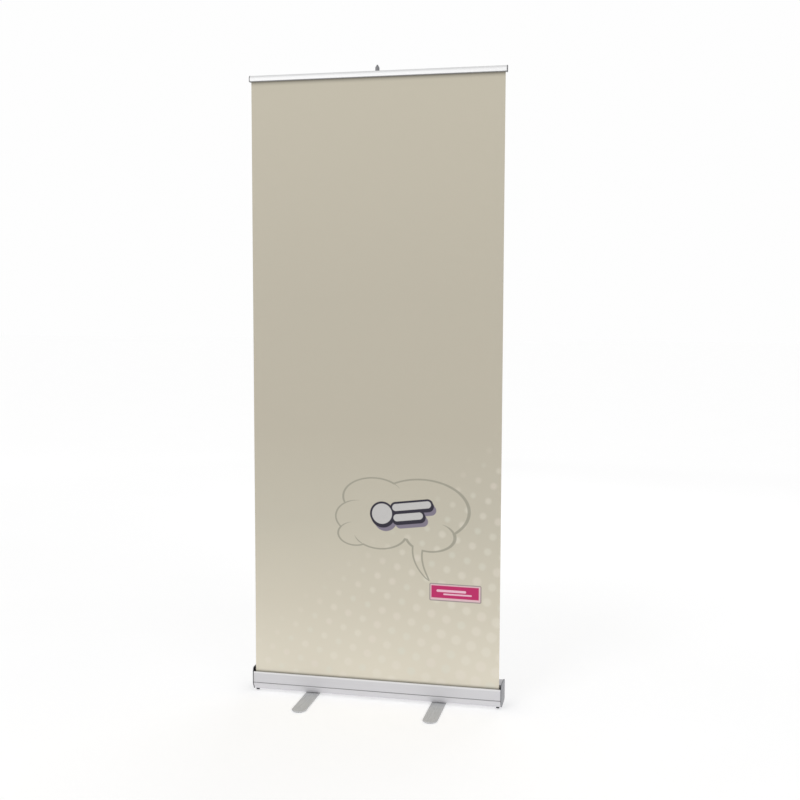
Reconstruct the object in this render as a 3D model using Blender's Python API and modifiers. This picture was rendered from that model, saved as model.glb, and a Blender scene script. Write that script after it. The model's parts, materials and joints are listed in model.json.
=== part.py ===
"""Roll-up banner stand: cassette with spring roller, banner, clamp rail, bungee pole and two swing-out feet.

Metres, +Z up. The origin is on the floor under the middle of the cassette, the banner faces -Y.
Cross-sections are written as (y, z) outlines and run along X.
"""
import math

import bmesh
import bpy
from mathutils import Matrix, Vector

# Banner
BANNER_WIDTH = 0.850
BANNER_HEIGHT = 2.010           # from the cassette's front lip to the underside of the rail
BANNER_THICKNESS = 0.0004
BANNER_IN_MOUTH = 0.0045        # how far the banner reaches down behind the lip
BANNER_IN_RAIL = 0.0065         # how far it reaches up into the clamp rail
LEADER_THICKNESS = 0.0003

# Cassette
BASE_DEPTH = 0.090
BASE_UNDERSIDE = 0.008          # height of the cassette's floor above the ground
LIP_HEIGHT = 0.0705             # height of the front lip above the ground
COVER_HEIGHT = 0.083            # height of the cassette's top cover above the ground
GROOVE_HEIGHT = 0.0325          # height of the groove in the front face
GROOVE_DEPTH = 0.0014
SHELL_WALL = 0.0016
LIP_DEPTH = 0.0055              # thickness of the rolled front lip
BANNER_SETBACK = 0.008          # from the front face to the banner
MOUTH_BACK = 0.016              # from the front face to the cover's front edge
TOE_DROP = 0.0048               # from the groove to the top of the slant
COVER_FALL = 0.004              # how much the cover falls to the back
COVER_CROWN = 0.45              # how far back the cover is highest, as a share of the depth
CROWN_ROUND = 0.080             # radius of the cover there
MOUTH_FALL = 0.002              # how much the cover falls to the mouth
MOUTH_RETURN = 0.006            # how far its front edge turns down
COVER_CORNER = 0.007            # radius of the cover's back corner
BACK_ROUND = 0.011              # radius of the bottom back corner
TOE_ROUND = 0.004               # radius at the top of the toe
EDGE_ROUND = 0.002              # radius at the bottom of the toe and at the mouth
SIDE_GAP = 0.006                # from a banner edge to the end of the cassette shell
CAP_THICKNESS = 0.0033
CAP_RISE = 0.003                # how far an end cap stands above the cover
CAP_PROUD = 0.0006              # how far an end cap stands out around the shell
CAP_FALL = 0.005                # how much a cap's top falls to the back
CAP_FRONT_INSET = 0.0045        # how far back its top edge starts
CAP_FRONT_ROUND = 0.006
CAP_BACK_ROUND = 0.009
CAP_EDGE = 0.0009               # rounding of its edges
CAP_BORE_REACH = 0.020          # half length of the cutter for the roller's axle
PORT_RADIUS = 0.0035            # screw port inside the shell
PORT_SINK = 0.0006              # how far a port is sunk in the wall
PORT_SETBACK = 0.0005           # how far a port stops short of the shell's end
SCREW_RADIUS = 0.0015
SCREW_LENGTH = 0.016
PORT_DEPTH = SCREW_LENGTH + 0.004   # depth of the hole in a port
SCREW_HEAD_RADIUS = 0.0032
SCREW_HEAD_DEPTH = 0.0018
SCREW_HEAD_RIM = 0.0004
SCREW_SUNK = 0.0002             # how far a screw head lies below the cap's face
RECESS_LENGTH = 0.0034
RECESS_WIDTH = 0.0008
RECESS_DEPTH = 0.0016
BUMPER_SIZE = (0.011, 0.0065, 0.0045)
BUMPER_ROUND = 0.0012
BUMPER_INSET = 0.005            # from the end of the shell to a bumper
BUMPER_TO_FOOT = 0.0015         # from a folded foot to a bumper
BUMPER_TO_TOE = 0.0005           # from a bumper forward to the end of the flat underside

# Roller
ROLLER_RADIUS = 0.013
ROLLER_WALL = 0.0012
LEADER_WRAP = 0.0005            # thickness of the leader wound on the tube
WOUND_RADIUS = 0.0175           # radius with the whole banner wound on
ROLLER_ABOVE_FLOOR = 0.0344     # roller axis above the inside of the cassette floor
ROLLER_TO_SOCKET = 0.005
ROLLER_END_GAP = 0.0045         # from the end of the shell to the end of the tube
PLUG_LENGTH = 0.014
ARBOR_RADIUS = 0.004
ARBOR_LENGTH = 0.184
BOSS_RADIUS = 0.009
BOSS_LENGTH = 0.0035
AXLE_RADIUS = 0.003
AXLE_LENGTH = 0.034
SPRING_RADIUS = 0.0072          # mean radius of the coil
SPRING_WIRE = 0.0008
SPRING_TURNS = 26
SPRING_LENGTH = 0.120
SPRING_INSET = 0.032            # from the end cap to the spring
ANCHOR_LENGTH = 0.010           # block that holds the spring's inner end
ANCHOR_INSET = 0.006            # from the end of the arbor to it
AXLE_SUNK = 0.0004              # how far the arbor and the axle end inside the caps' outer faces

# Feet
FOOT_WIDTH = 0.049
FOOT_THICKNESS = 0.004
FOOT_FOLD_GAP = 0.007           # between the middle of the stand and a folded foot
FOOT_RIDGES = 4
FOOT_RIDGE_WIDTH = 0.0012
FOOT_RIDGE_DEPTH = 0.0004
FOOT_EDGE = 0.0005              # bevel of its edges
FOOT_PAD_THICKNESS = 0.0017
FOOT_PAD_INSET = 0.004
PIVOT_RADIUS = 0.003
PIVOT_HEAD_RADIUS = 0.008
PIVOT_HEAD_THICKNESS = 0.0013
WASHER_RADIUS = 0.011
NUT_RADIUS = 0.0058
NUT_THICKNESS = 0.004
BOLT_PAST_NUT = 0.001           # how far the bolt stands out of the nut
PIVOT_HOLE_REACH = 0.010        # half length of the cutter for the pivot's hole

# Rail
RAIL_HEIGHT = 0.021
RAIL_FRONT = 0.0065             # from the banner to the rail's front face
RAIL_BACK = 0.009               # from the banner to the rail's back face
RAIL_WALL = 0.0014
RAIL_ROUND = 0.011              # radius of the rail's front top edge
RAIL_OVERHANG = 0.004           # from a banner edge to the end of the rail extrusion
RAIL_CAP_THICKNESS = 0.002
RAIL_CAP_PROUD = 0.0004
RAIL_CAP_EDGE = 0.0004          # rounding of its edges
RAIL_GRIP = 0.007               # height of the wall in front of the banner
RAIL_EDGE = 0.0016              # radius of the rail's lower edges
RAIL_BACK_ROUND = 0.003         # radius of its back top edge
JAW_WALL = 0.0012
JAW_HEIGHT = 0.0075             # height of the clamp jaw's back wall
JAW_GRIP = 0.0055               # height of its gripping wall
JAW_EDGE = 0.0014               # radius of its edges

# Pole
POLE_RADIUS = 0.0065
POLE_WALL = 0.001
POLE_TO_BACK = 0.0101           # from the cassette's back face to the pole's cup at cover height
POLE_BEHIND_RAIL = 0.019        # from the rail's back face to the pole at rail height
POLE_SECTIONS = 3
FERRULE_LENGTH = 0.100
FERRULE_WALL = 0.0012
POLE_PLUG_LENGTH = 0.025
HEAD_RADIUS = 0.007
HEAD_TIP_RADIUS = 0.00245
HEAD_ABOVE_RAIL = 0.024         # height of the pole's tip above the rail
HEAD_CONE = 0.009
HEAD_COLLAR = 0.046             # length of the head above the tube, without its cone
HOOK_WIDTH = 0.008
HOOK_THICKNESS = 0.005
HOOK_NOSE = 0.009               # height of the hook's upturned nose
HOOK_ABOVE_JAW = 0.0006         # from the jaw's hinge up to the hook's underside
HOOK_LIP = 0.0035               # thickness of the nose
SOCKET_WALL = 0.0015
SOCKET_FLANGE_RADIUS = 0.0108
SOCKET_FLANGE_THICKNESS = 0.0014
CORD_RADIUS = 0.0015

# Clearances
TOUCH = 0.0003                  # gap between two pieces that rest on each other
RUNNING = 0.0004                # radial gap of a piece that turns or slides in another
HOOK_GAP = 0.0006               # between the hook's nose and the back of the rail

# Derived places
FRONT_Y = -BASE_DEPTH / 2
BACK_Y = BASE_DEPTH / 2
TOE_SLANT = BASE_DEPTH / 2 - (FOOT_WIDTH / 2 + BUMPER_TO_FOOT + BUMPER_SIZE[1] + BUMPER_TO_TOE)
BANNER_Y = FRONT_Y + BANNER_SETBACK
SHELL_HALF = BANNER_WIDTH / 2 + SIDE_GAP
CAP_INNER_X = SHELL_HALF + TOUCH
CAP_OUTER_X = CAP_INNER_X + CAP_THICKNESS
FLOOR_INSIDE_Z = BASE_UNDERSIDE + SHELL_WALL
TOE_TOP_Z = GROOVE_HEIGHT - TOE_DROP
CROWN_Y = FRONT_Y + COVER_CROWN * BASE_DEPTH
RAIL_Z = LIP_HEIGHT + BANNER_HEIGHT
RAIL_TOP_Z = RAIL_Z + RAIL_HEIGHT
RAIL_BACK_Y = BANNER_Y + RAIL_BACK
RAIL_HALF = BANNER_WIDTH / 2 + RAIL_OVERHANG
SOCKET_BORE = POLE_RADIUS + RUNNING
SOCKET_RADIUS = SOCKET_BORE + SOCKET_WALL

# The pole leans forward: it stands behind the roller and meets the rail just behind the banner.
POLE_COVER_Y = BACK_Y - POLE_TO_BACK - SOCKET_RADIUS
POLE_RAIL_Y = RAIL_BACK_Y + POLE_BEHIND_RAIL
POLE_LEAN = math.atan2(POLE_COVER_Y - POLE_RAIL_Y, RAIL_TOP_Z - COVER_HEIGHT)
SOCKET_FLOOR_Z = FLOOR_INSIDE_Z + TOUCH + SOCKET_RADIUS * math.sin(POLE_LEAN) + SOCKET_WALL
POLE_FOOT_Y = POLE_COVER_Y + (COVER_HEIGHT - SOCKET_FLOOR_Z) * math.tan(POLE_LEAN)
HEAD_TIP = (RAIL_TOP_Z + HEAD_ABOVE_RAIL - SOCKET_FLOOR_Z) / math.cos(POLE_LEAN)
POLE_LENGTH = HEAD_TIP - HEAD_CONE - HEAD_COLLAR - TOUCH
SECTION_LENGTH = (POLE_LENGTH - TOUCH * POLE_SECTIONS) / POLE_SECTIONS

ROLLER_Y = POLE_COVER_Y - SOCKET_RADIUS - ROLLER_TO_SOCKET - WOUND_RADIUS
ROLLER_Z = FLOOR_INSIDE_Z + ROLLER_ABOVE_FLOOR
ROLLER_HALF = SHELL_HALF - ROLLER_END_GAP

FOOT_LENGTH = CAP_OUTER_X - FOOT_FOLD_GAP
FOOT_X = CAP_OUTER_X - FOOT_LENGTH / 2
FOOT_BOTTOM_Z = FOOT_PAD_THICKNESS + TOUCH
FOOT_TOP_Z = FOOT_BOTTOM_Z + FOOT_THICKNESS

ACROSS = (math.pi / 2, 0, math.pi / 2)      # turns an outline drawn as (y, z) to run along X
ALONG_X = (0, math.pi / 2, 0)               # turns a Z axis to X
ROUND_STEPS = 32


# ---------------------------------------------------------------- helpers
def clear_scene():
    """Remove every object of the open scene."""
    for obj in list(bpy.data.objects):
        bpy.data.objects.remove(obj, do_unlink=True)


def new_collection(name, is_cutter=False):
    """Add a collection to the scene."""
    collection = bpy.data.collections.new(name)
    bpy.context.scene.collection.children.link(collection)
    collection.hide_render = is_cutter
    return collection


def make_material(name, color, roughness, metallic=0.0):
    """Principled material of one colour."""
    material = bpy.data.materials.new(name)
    material.use_nodes = True
    shader = material.node_tree.nodes["Principled BSDF"]
    shader.inputs["Base Color"].default_value = (*color, 1.0)
    shader.inputs["Roughness"].default_value = roughness
    shader.inputs["Metallic"].default_value = metallic
    material.diffuse_color = (*color, 1.0)
    return material


def add_object(name, data, material, location=(0, 0, 0), rotation=(0, 0, 0), parent=None):
    """Link an object of the stand, with its material."""
    obj = bpy.data.objects.new(name, data)
    STAND.objects.link(obj)
    obj.location = location
    obj.rotation_euler = rotation
    obj.parent = parent
    if not data.materials:
        data.materials.append(material)
    return obj


def add_axis(name, location, rotation=(0, 0, 0), parent=None):
    """Empty on a joint's axis, for the pieces that move with it."""
    empty = bpy.data.objects.new(name, None)
    STAND.objects.link(empty)
    empty.location = location
    empty.rotation_euler = rotation
    empty.parent = parent
    empty.empty_display_size = 0.03
    return empty


def corner_arc(before, corner, after, radius, steps):
    """Points of the arc that rounds a corner of a path."""
    to_before = (before - corner).normalized()
    to_after = (after - corner).normalized()
    half_angle = to_before.angle(to_after) / 2
    reach = radius / math.tan(half_angle)
    center = corner + (to_before + to_after).normalized() * (radius / math.sin(half_angle))
    start = corner + to_before * reach - center
    end = corner + to_after * reach - center
    sweep = start.angle_signed(end)
    turned = []
    for step in range(steps + 1):
        turned.append(center + Matrix.Rotation(-sweep * step / steps, 2) @ start)
    return turned


def rounded_path(corners, closed=False, steps=6):
    """Path through (y, z, radius) corners, each rounded by its radius."""
    points = [Vector(corner[:2]) for corner in corners]
    path = []
    for index, (corner, (_, _, radius)) in enumerate(zip(points, corners)):
        is_end = not closed and index in (0, len(points) - 1)
        if radius == 0 or is_end:
            path.append(corner)
        else:
            path += corner_arc(points[index - 1], corner, points[(index + 1) % len(points)], radius, steps)
    return path


def parallel_path(path, distance):
    """The path moved sideways to its right by a distance, with mitred corners."""
    moved = []
    for index, point in enumerate(path):
        sides = []
        if index > 0:
            sides.append((point - path[index - 1]).normalized())
        if index < len(path) - 1:
            sides.append((path[index + 1] - point).normalized())
        normals = [Vector((side.y, -side.x)) for side in sides]
        middle = sum(normals, Vector((0, 0))).normalized()
        moved.append(point + middle * (distance / middle.dot(normals[0])))
    return moved


def wall_outline(path, wall):
    """Closed outline of a wall whose outer face is the path and whose thickness lies to its right."""
    return path + parallel_path(path, wall)[::-1]


def extrude_outline(name, outline, half_length, material, location=(0, 0, 0), rotation=ACROSS, parent=None):
    """Solid with one flat outline: a filled 2D curve, extruded both ways and made a mesh."""
    curve = bpy.data.curves.new(name, "CURVE")
    curve.dimensions = "2D"
    curve.fill_mode = "BOTH"
    curve.extrude = half_length
    spline = curve.splines.new("POLY")
    spline.points.add(len(outline) - 1)
    for point, (first, second) in zip(spline.points, outline):
        point.co = (first, second, 0, 1)
    spline.use_cyclic_u = True
    source = bpy.data.objects.new(name + "_outline", curve)
    STAND.objects.link(source)
    evaluated = source.evaluated_get(bpy.context.evaluated_depsgraph_get())
    mesh = bpy.data.meshes.new_from_object(evaluated)
    bpy.data.objects.remove(source)
    work = bmesh.new()
    work.from_mesh(mesh)
    bmesh.ops.remove_doubles(work, verts=work.verts, dist=1e-6)
    work.to_mesh(mesh)
    work.free()
    mesh.name = name
    shade_round(mesh)
    return add_object(name, mesh, material, location, rotation, parent)


def shade_round(mesh, angle=math.radians(35)):
    """Smooth shading, with sharp edges above an angle."""
    mesh.shade_smooth()
    mesh.set_sharp_from_angle(angle=angle)


def turned(name, profile, material, location=(0, 0, 0), rotation=(0, 0, 0), parent=None, closed=False,
           steps=ROUND_STEPS):
    """Turned solid: a profile of (radius, z), read down its outer side, swept round by a Screw modifier."""
    mesh = bpy.data.meshes.new(name)
    count = len(profile)
    edges = [(index, index + 1) for index in range(count - 1)]
    if closed:
        edges.append((count - 1, 0))
    mesh.from_pydata([(radius, 0, height) for radius, height in profile], edges, [])
    obj = add_object(name, mesh, material, location, rotation, parent)
    screw = obj.modifiers.new("turn", "SCREW")
    screw.steps = steps
    screw.render_steps = steps
    screw.use_merge_vertices = True
    screw.merge_threshold = 0.00002
    screw.use_smooth_shade = True
    return obj


def tube_profile(outer, inner, bottom, top):
    """Closed profile of a plain tube."""
    return [(outer, top), (outer, bottom), (inner, bottom), (inner, top)]


def rod(name, radius, bottom, top, material, location=(0, 0, 0), rotation=(0, 0, 0), parent=None,
        steps=ROUND_STEPS):
    """Plain round or many-sided rod along Z, from bottom to top."""
    mesh = bpy.data.meshes.new(name)
    work = bmesh.new()
    bmesh.ops.create_cone(work, cap_ends=True, segments=steps, radius1=radius, radius2=radius,
                          depth=top - bottom, matrix=Matrix.Translation((0, 0, (top + bottom) / 2)))
    work.to_mesh(mesh)
    work.free()
    shade_round(mesh)
    return add_object(name, mesh, material, location, rotation, parent)


def box_mesh(name, size):
    """Box centred on its origin."""
    mesh = bpy.data.meshes.new(name)
    work = bmesh.new()
    bmesh.ops.create_cube(work, size=1, matrix=Matrix.Diagonal((*size, 1)))
    work.to_mesh(mesh)
    work.free()
    return mesh


def add_bevel(obj, width, segments=2, angle=50):
    """Round the edges of an object that are sharper than an angle in degrees."""
    bevel = obj.modifiers.new("edges", "BEVEL")
    bevel.width = width
    bevel.segments = segments
    bevel.limit_method = "ANGLE"
    bevel.angle_limit = math.radians(angle)


def as_cutter(obj):
    """Move an object to the cutters, shown as wire."""
    STAND.objects.unlink(obj)
    CUTTERS.objects.link(obj)
    obj.hide_render = True
    obj.display_type = "WIRE"
    return obj


def add_boolean(obj, other, operation="DIFFERENCE"):
    """Cut or join an object with another one, which becomes a cutter."""
    boolean = obj.modifiers.new(operation.lower(), "BOOLEAN")
    boolean.operation = operation
    boolean.solver = "EXACT"
    boolean.object = other
    if other.name not in CUTTERS.objects:
        as_cutter(other)


def place_on_pole(along):
    """World place of a point on the pole's axis."""
    foot = Vector((0, POLE_FOOT_Y, SOCKET_FLOOR_Z))
    return foot + Vector((0, -math.sin(POLE_LEAN), math.cos(POLE_LEAN))) * along


# ---------------------------------------------------------------- cassette
def shell_path():
    """Outer face of the cassette's wall, from the front lip under the floor and round to the cover's edge."""
    lip_back = FRONT_Y + LIP_DEPTH
    groove_y = FRONT_Y + GROOVE_DEPTH
    groove_half = GROOVE_DEPTH * 0.86
    return rounded_path([
        (lip_back, LIP_HEIGHT - LIP_DEPTH, 0),
        (lip_back, LIP_HEIGHT, LIP_DEPTH * 0.4),
        (FRONT_Y, LIP_HEIGHT, LIP_DEPTH * 0.5),
        (FRONT_Y, GROOVE_HEIGHT + groove_half, 0),
        (groove_y, GROOVE_HEIGHT + groove_half / 2, 0),
        (groove_y, GROOVE_HEIGHT - groove_half / 2, 0),
        (FRONT_Y, GROOVE_HEIGHT - groove_half, 0),
        (FRONT_Y, TOE_TOP_Z, TOE_ROUND),
        (FRONT_Y + TOE_SLANT, BASE_UNDERSIDE, EDGE_ROUND),
        (BACK_Y, BASE_UNDERSIDE, BACK_ROUND),
        (BACK_Y, COVER_HEIGHT - COVER_FALL, COVER_CORNER),
        (CROWN_Y, COVER_HEIGHT, CROWN_ROUND),
        (FRONT_Y + MOUTH_BACK, COVER_HEIGHT - MOUTH_FALL, EDGE_ROUND),
        (FRONT_Y + MOUTH_BACK, COVER_HEIGHT - MOUTH_FALL - MOUTH_RETURN, 0),
    ])


def port_places():
    """(y, z) centres of the screw ports: one sunk in the slanted toe wall, one in the cover's back corner."""
    slope = Vector((TOE_SLANT, BASE_UNDERSIDE - TOE_TOP_Z))
    inward = Vector((-slope.y, slope.x)).normalized()
    middle = Vector((FRONT_Y, TOE_TOP_Z)) + slope / 2
    front = middle + inward * (SHELL_WALL + PORT_RADIUS - PORT_SINK)
    corner = Vector((BACK_Y - COVER_CORNER, COVER_HEIGHT - COVER_FALL - COVER_CORNER))
    back = corner + Vector((1, 1)).normalized() * (COVER_CORNER - SHELL_WALL + PORT_SINK - PORT_RADIUS)
    return front, back


def make_shell():
    """Cassette extrusion with its screw ports, the pole hole and the pivot holes."""
    outline = wall_outline(shell_path(), -SHELL_WALL)
    shell = extrude_outline("cassette_shell", outline, SHELL_HALF, ALUMINIUM)
    pilot = SCREW_RADIUS + TOUCH
    for index, (port_y, port_z) in enumerate(port_places()):
        port_half = SHELL_HALF - PORT_SETBACK
        port = rod(f"port_{index}", PORT_RADIUS, -port_half, port_half, ALUMINIUM,
                   (0, port_y, port_z), ALONG_X, steps=16)
        add_boolean(shell, port, "UNION")
        for side in (-1, 1):
            hole = rod(f"port_hole_{index}_{side}", pilot, -PORT_DEPTH, PORT_DEPTH, ALUMINIUM,
                       (side * SHELL_HALF, port_y, port_z), ALONG_X, steps=12)
            add_boolean(shell, hole)
    cover_along = (COVER_HEIGHT - SOCKET_FLOOR_Z) / math.cos(POLE_LEAN)
    pole_hole = rod("pole_hole", SOCKET_RADIUS + TOUCH, cover_along * 0.6, cover_along * 1.4, ALUMINIUM,
                    parent=POLE_AXIS)
    add_boolean(shell, pole_hole)
    for side in (-1, 1):
        pivot_hole = rod(f"pivot_hole_{side}", PIVOT_RADIUS + TOUCH, -PIVOT_HOLE_REACH, PIVOT_HOLE_REACH,
                         ALUMINIUM, (side * FOOT_X, 0, BASE_UNDERSIDE), steps=16)
        add_boolean(shell, pivot_hole)


def cap_outline():
    """Closed outline of an end cap, a little proud of the shell all round."""
    front = FRONT_Y - CAP_PROUD
    back = BACK_Y + CAP_PROUD
    under = BASE_UNDERSIDE - CAP_PROUD
    top = COVER_HEIGHT + CAP_RISE
    return rounded_path([
        (front, LIP_HEIGHT + CAP_PROUD, CAP_FRONT_ROUND),
        (front, TOE_TOP_Z, TOE_ROUND),
        (front + TOE_SLANT, under, EDGE_ROUND + CAP_PROUD),
        (back, under, BACK_ROUND + CAP_PROUD),
        (back, top - CAP_FALL, CAP_BACK_ROUND),
        (CROWN_Y, top, CROWN_ROUND),
        (front + CAP_FRONT_INSET, top - MOUTH_FALL / 2, CAP_FRONT_ROUND),
    ], closed=True)


def make_end_cap(side, label):
    """Moulded end cap with a boss for the roller's axle and two countersunk screw holes."""
    plate_x = side * (CAP_INNER_X + CAP_THICKNESS / 2)
    cap = extrude_outline(f"end_cap_{label}", cap_outline(), CAP_THICKNESS / 2, CAP_GREY, (plate_x, 0, 0))
    add_bevel(cap, CAP_EDGE)
    boss_half = (BOSS_LENGTH + CAP_THICKNESS / 2) / 2
    boss_x = side * (CAP_INNER_X - BOSS_LENGTH + boss_half)
    boss = rod(f"boss_{label}", BOSS_RADIUS, -boss_half, boss_half, CAP_GREY,
               (boss_x, ROLLER_Y, ROLLER_Z), ALONG_X)
    add_boolean(cap, boss, "UNION")
    axle = ARBOR_RADIUS if side < 0 else AXLE_RADIUS
    bore = rod(f"boss_bore_{label}", axle + TOUCH, -CAP_BORE_REACH, CAP_BORE_REACH, CAP_GREY,
               (side * CAP_INNER_X, ROLLER_Y, ROLLER_Z), ALONG_X, steps=24)
    add_boolean(cap, bore)
    for index, (port_y, port_z) in enumerate(port_places()):
        sink = turned(f"sink_{label}_{index}", countersunk_profile(TOUCH, CAP_THICKNESS), CAP_GREY,
                      (side * CAP_OUTER_X, port_y, port_z), (0, side * math.pi / 2, 0), steps=24)
        add_boolean(cap, sink)


def countersunk_profile(clearance=0.0, above=0.0):
    """Profile of a countersunk screw whose head is flush at z = 0, or of the hole for it."""
    head = SCREW_HEAD_RADIUS + clearance
    shank = SCREW_RADIUS + clearance
    tip = -SCREW_LENGTH - clearance
    profile = [(0, above), (head, above)]
    if above:
        profile.append((head, 0))
    return profile + [(head, -SCREW_HEAD_RIM), (shank, -SCREW_HEAD_DEPTH), (shank, tip), (0, tip)]


def make_cap_screw(side, label, index, port):
    """Countersunk self-tapping screw with a cross recess."""
    place = (side * (CAP_OUTER_X - SCREW_SUNK), port[0], port[1])
    screw = turned(f"cap_screw_{label}_{index + 1}", countersunk_profile(), STEEL, place,
                   (0, side * math.pi / 2, 0), steps=24)
    crossed = ((RECESS_WIDTH, RECESS_LENGTH, RECESS_DEPTH), (RECESS_LENGTH, RECESS_WIDTH, RECESS_DEPTH))
    for slot, size in enumerate(crossed):
        recess = add_object(f"recess_{label}_{index}_{slot}", box_mesh("recess", size), STEEL, parent=screw)
        add_boolean(screw, recess)


def make_bumpers():
    """A rubber bumper under each end of the cassette's front, clear of the folded feet."""
    width, depth, height = BUMPER_SIZE
    x = SHELL_HALF - width / 2 - BUMPER_INSET
    y = -(FOOT_WIDTH / 2 + BUMPER_TO_FOOT + depth / 2)
    for side, label in ((-1, "left"), (1, "right")):
        bumper = add_object(f"bumper_{label}", box_mesh("bumper", BUMPER_SIZE), RUBBER,
                            (side * x, y, BASE_UNDERSIDE - TOUCH - height / 2))
        add_bevel(bumper, BUMPER_ROUND, segments=3)


def make_socket():
    """Plastic cup that holds the pole, with a flange on the cover."""
    flange_z = (COVER_HEIGHT - SOCKET_FLOOR_Z) / math.cos(POLE_LEAN) + TOUCH
    flange_top = flange_z + SOCKET_FLANGE_THICKNESS
    profile = [(0, -TOUCH), (SOCKET_BORE, -TOUCH), (SOCKET_BORE, flange_top),
               (SOCKET_FLANGE_RADIUS, flange_top), (SOCKET_FLANGE_RADIUS, flange_z),
               (SOCKET_RADIUS, flange_z), (SOCKET_RADIUS, -SOCKET_WALL), (0, -SOCKET_WALL)]
    turned("pole_socket", profile, BLACK_PLASTIC, parent=POLE_AXIS)


# ---------------------------------------------------------------- roller
def make_roller():
    """Tube with its two end plugs, the spring anchor and the leader wound on it."""
    inner = ROLLER_RADIUS - ROLLER_WALL
    plug = inner - TOUCH
    turned("roller_tube", tube_profile(ROLLER_RADIUS, inner, -ROLLER_HALF, ROLLER_HALF), ALUMINIUM,
           parent=ROLLER_AXIS, closed=True)
    wrap_inner = ROLLER_RADIUS + TOUCH
    wrap = tube_profile(wrap_inner + LEADER_WRAP, wrap_inner, -BANNER_WIDTH / 2, BANNER_WIDTH / 2)
    turned("leader_wrap", wrap, LEADER_FILM, parent=ROLLER_AXIS, closed=True)
    for side, label, bore in ((-1, "left", ARBOR_RADIUS), (1, "right", AXLE_RADIUS)):
        middle = side * (ROLLER_HALF - PLUG_LENGTH / 2)
        ends = (middle - PLUG_LENGTH / 2, middle + PLUG_LENGTH / 2)
        turned(f"roller_plug_{label}", tube_profile(plug, bore + RUNNING, *ends), BLACK_PLASTIC,
               parent=ROLLER_AXIS, closed=True)
    anchor_end = -CAP_OUTER_X + ARBOR_LENGTH - ANCHOR_INSET
    anchor = tube_profile(plug, ARBOR_RADIUS + RUNNING, anchor_end - ANCHOR_LENGTH, anchor_end)
    turned("spring_anchor", anchor, BLACK_PLASTIC, parent=ROLLER_AXIS, closed=True)


def make_spring():
    """Torsion spring: a coil round the arbor, clear of the roller's tube."""
    curve = bpy.data.curves.new("torsion_spring", "CURVE")
    curve.dimensions = "3D"
    curve.bevel_depth = SPRING_WIRE
    curve.bevel_resolution = 0
    curve.use_fill_caps = True
    per_turn = 12
    count = SPRING_TURNS * per_turn + 1
    start = -CAP_INNER_X + SPRING_INSET
    spline = curve.splines.new("POLY")
    spline.points.add(count - 1)
    for index, point in enumerate(spline.points):
        angle = 2 * math.pi * index / per_turn
        x = start + SPRING_LENGTH * index / (count - 1)
        point.co = (x, SPRING_RADIUS * math.cos(angle), SPRING_RADIUS * math.sin(angle), 1)
    add_object("torsion_spring", curve, STEEL, (0, ROLLER_Y, ROLLER_Z))


def make_axles():
    """Six-sided spring arbor in the left end cap and plain axle in the right one."""
    outer = CAP_OUTER_X - AXLE_SUNK
    rod("spring_arbor", ARBOR_RADIUS, -outer, -outer + ARBOR_LENGTH, STEEL,
        (0, ROLLER_Y, ROLLER_Z), ALONG_X, steps=6)
    rod("roller_axle", AXLE_RADIUS, outer - AXLE_LENGTH, outer, STEEL,
        (0, ROLLER_Y, ROLLER_Z), ALONG_X, steps=24)


# ---------------------------------------------------------------- banner
def make_banner():
    """Printed sheet from behind the front lip up into the clamp rail."""
    bottom = LIP_HEIGHT - BANNER_IN_MOUTH
    top = RAIL_Z + BANNER_IN_RAIL
    add_object("banner", box_mesh("banner", (BANNER_WIDTH, BANNER_THICKNESS, top - bottom)), BANNER_FILM,
               (0, BANNER_Y, (top + bottom) / 2))


def make_leader():
    """Film from the roller to the banner's lower edge: a flat strip that leaves the roller on a tangent."""
    mouth = Vector((BANNER_Y, LIP_HEIGHT - BANNER_IN_MOUTH - 2 * TOUCH))
    center = Vector((ROLLER_Y, ROLLER_Z))
    radius = ROLLER_RADIUS + TOUCH + LEADER_WRAP + TOUCH
    to_mouth = mouth - center
    lift = math.acos(radius / to_mouth.length)
    normal = Matrix.Rotation(-lift, 2) @ to_mouth.normalized()
    tangent = center + normal * radius
    outline = [mouth, tangent, tangent + normal * LEADER_THICKNESS, mouth + normal * LEADER_THICKNESS]
    extrude_outline("leader", outline, BANNER_WIDTH / 2, LEADER_FILM)


# ---------------------------------------------------------------- feet
def foot_outline():
    """Plan of a foot bar along Y, with half-round ends."""
    half = FOOT_WIDTH / 2
    straight = FOOT_LENGTH / 2 - half
    outline = []
    steps = 16
    for end in (-1, 1):
        for step in range(steps + 1):
            angle = math.pi * step / steps + (math.pi if end < 0 else 0)
            outline.append((half * math.cos(angle), end * straight + half * math.sin(angle)))
    return outline


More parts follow.
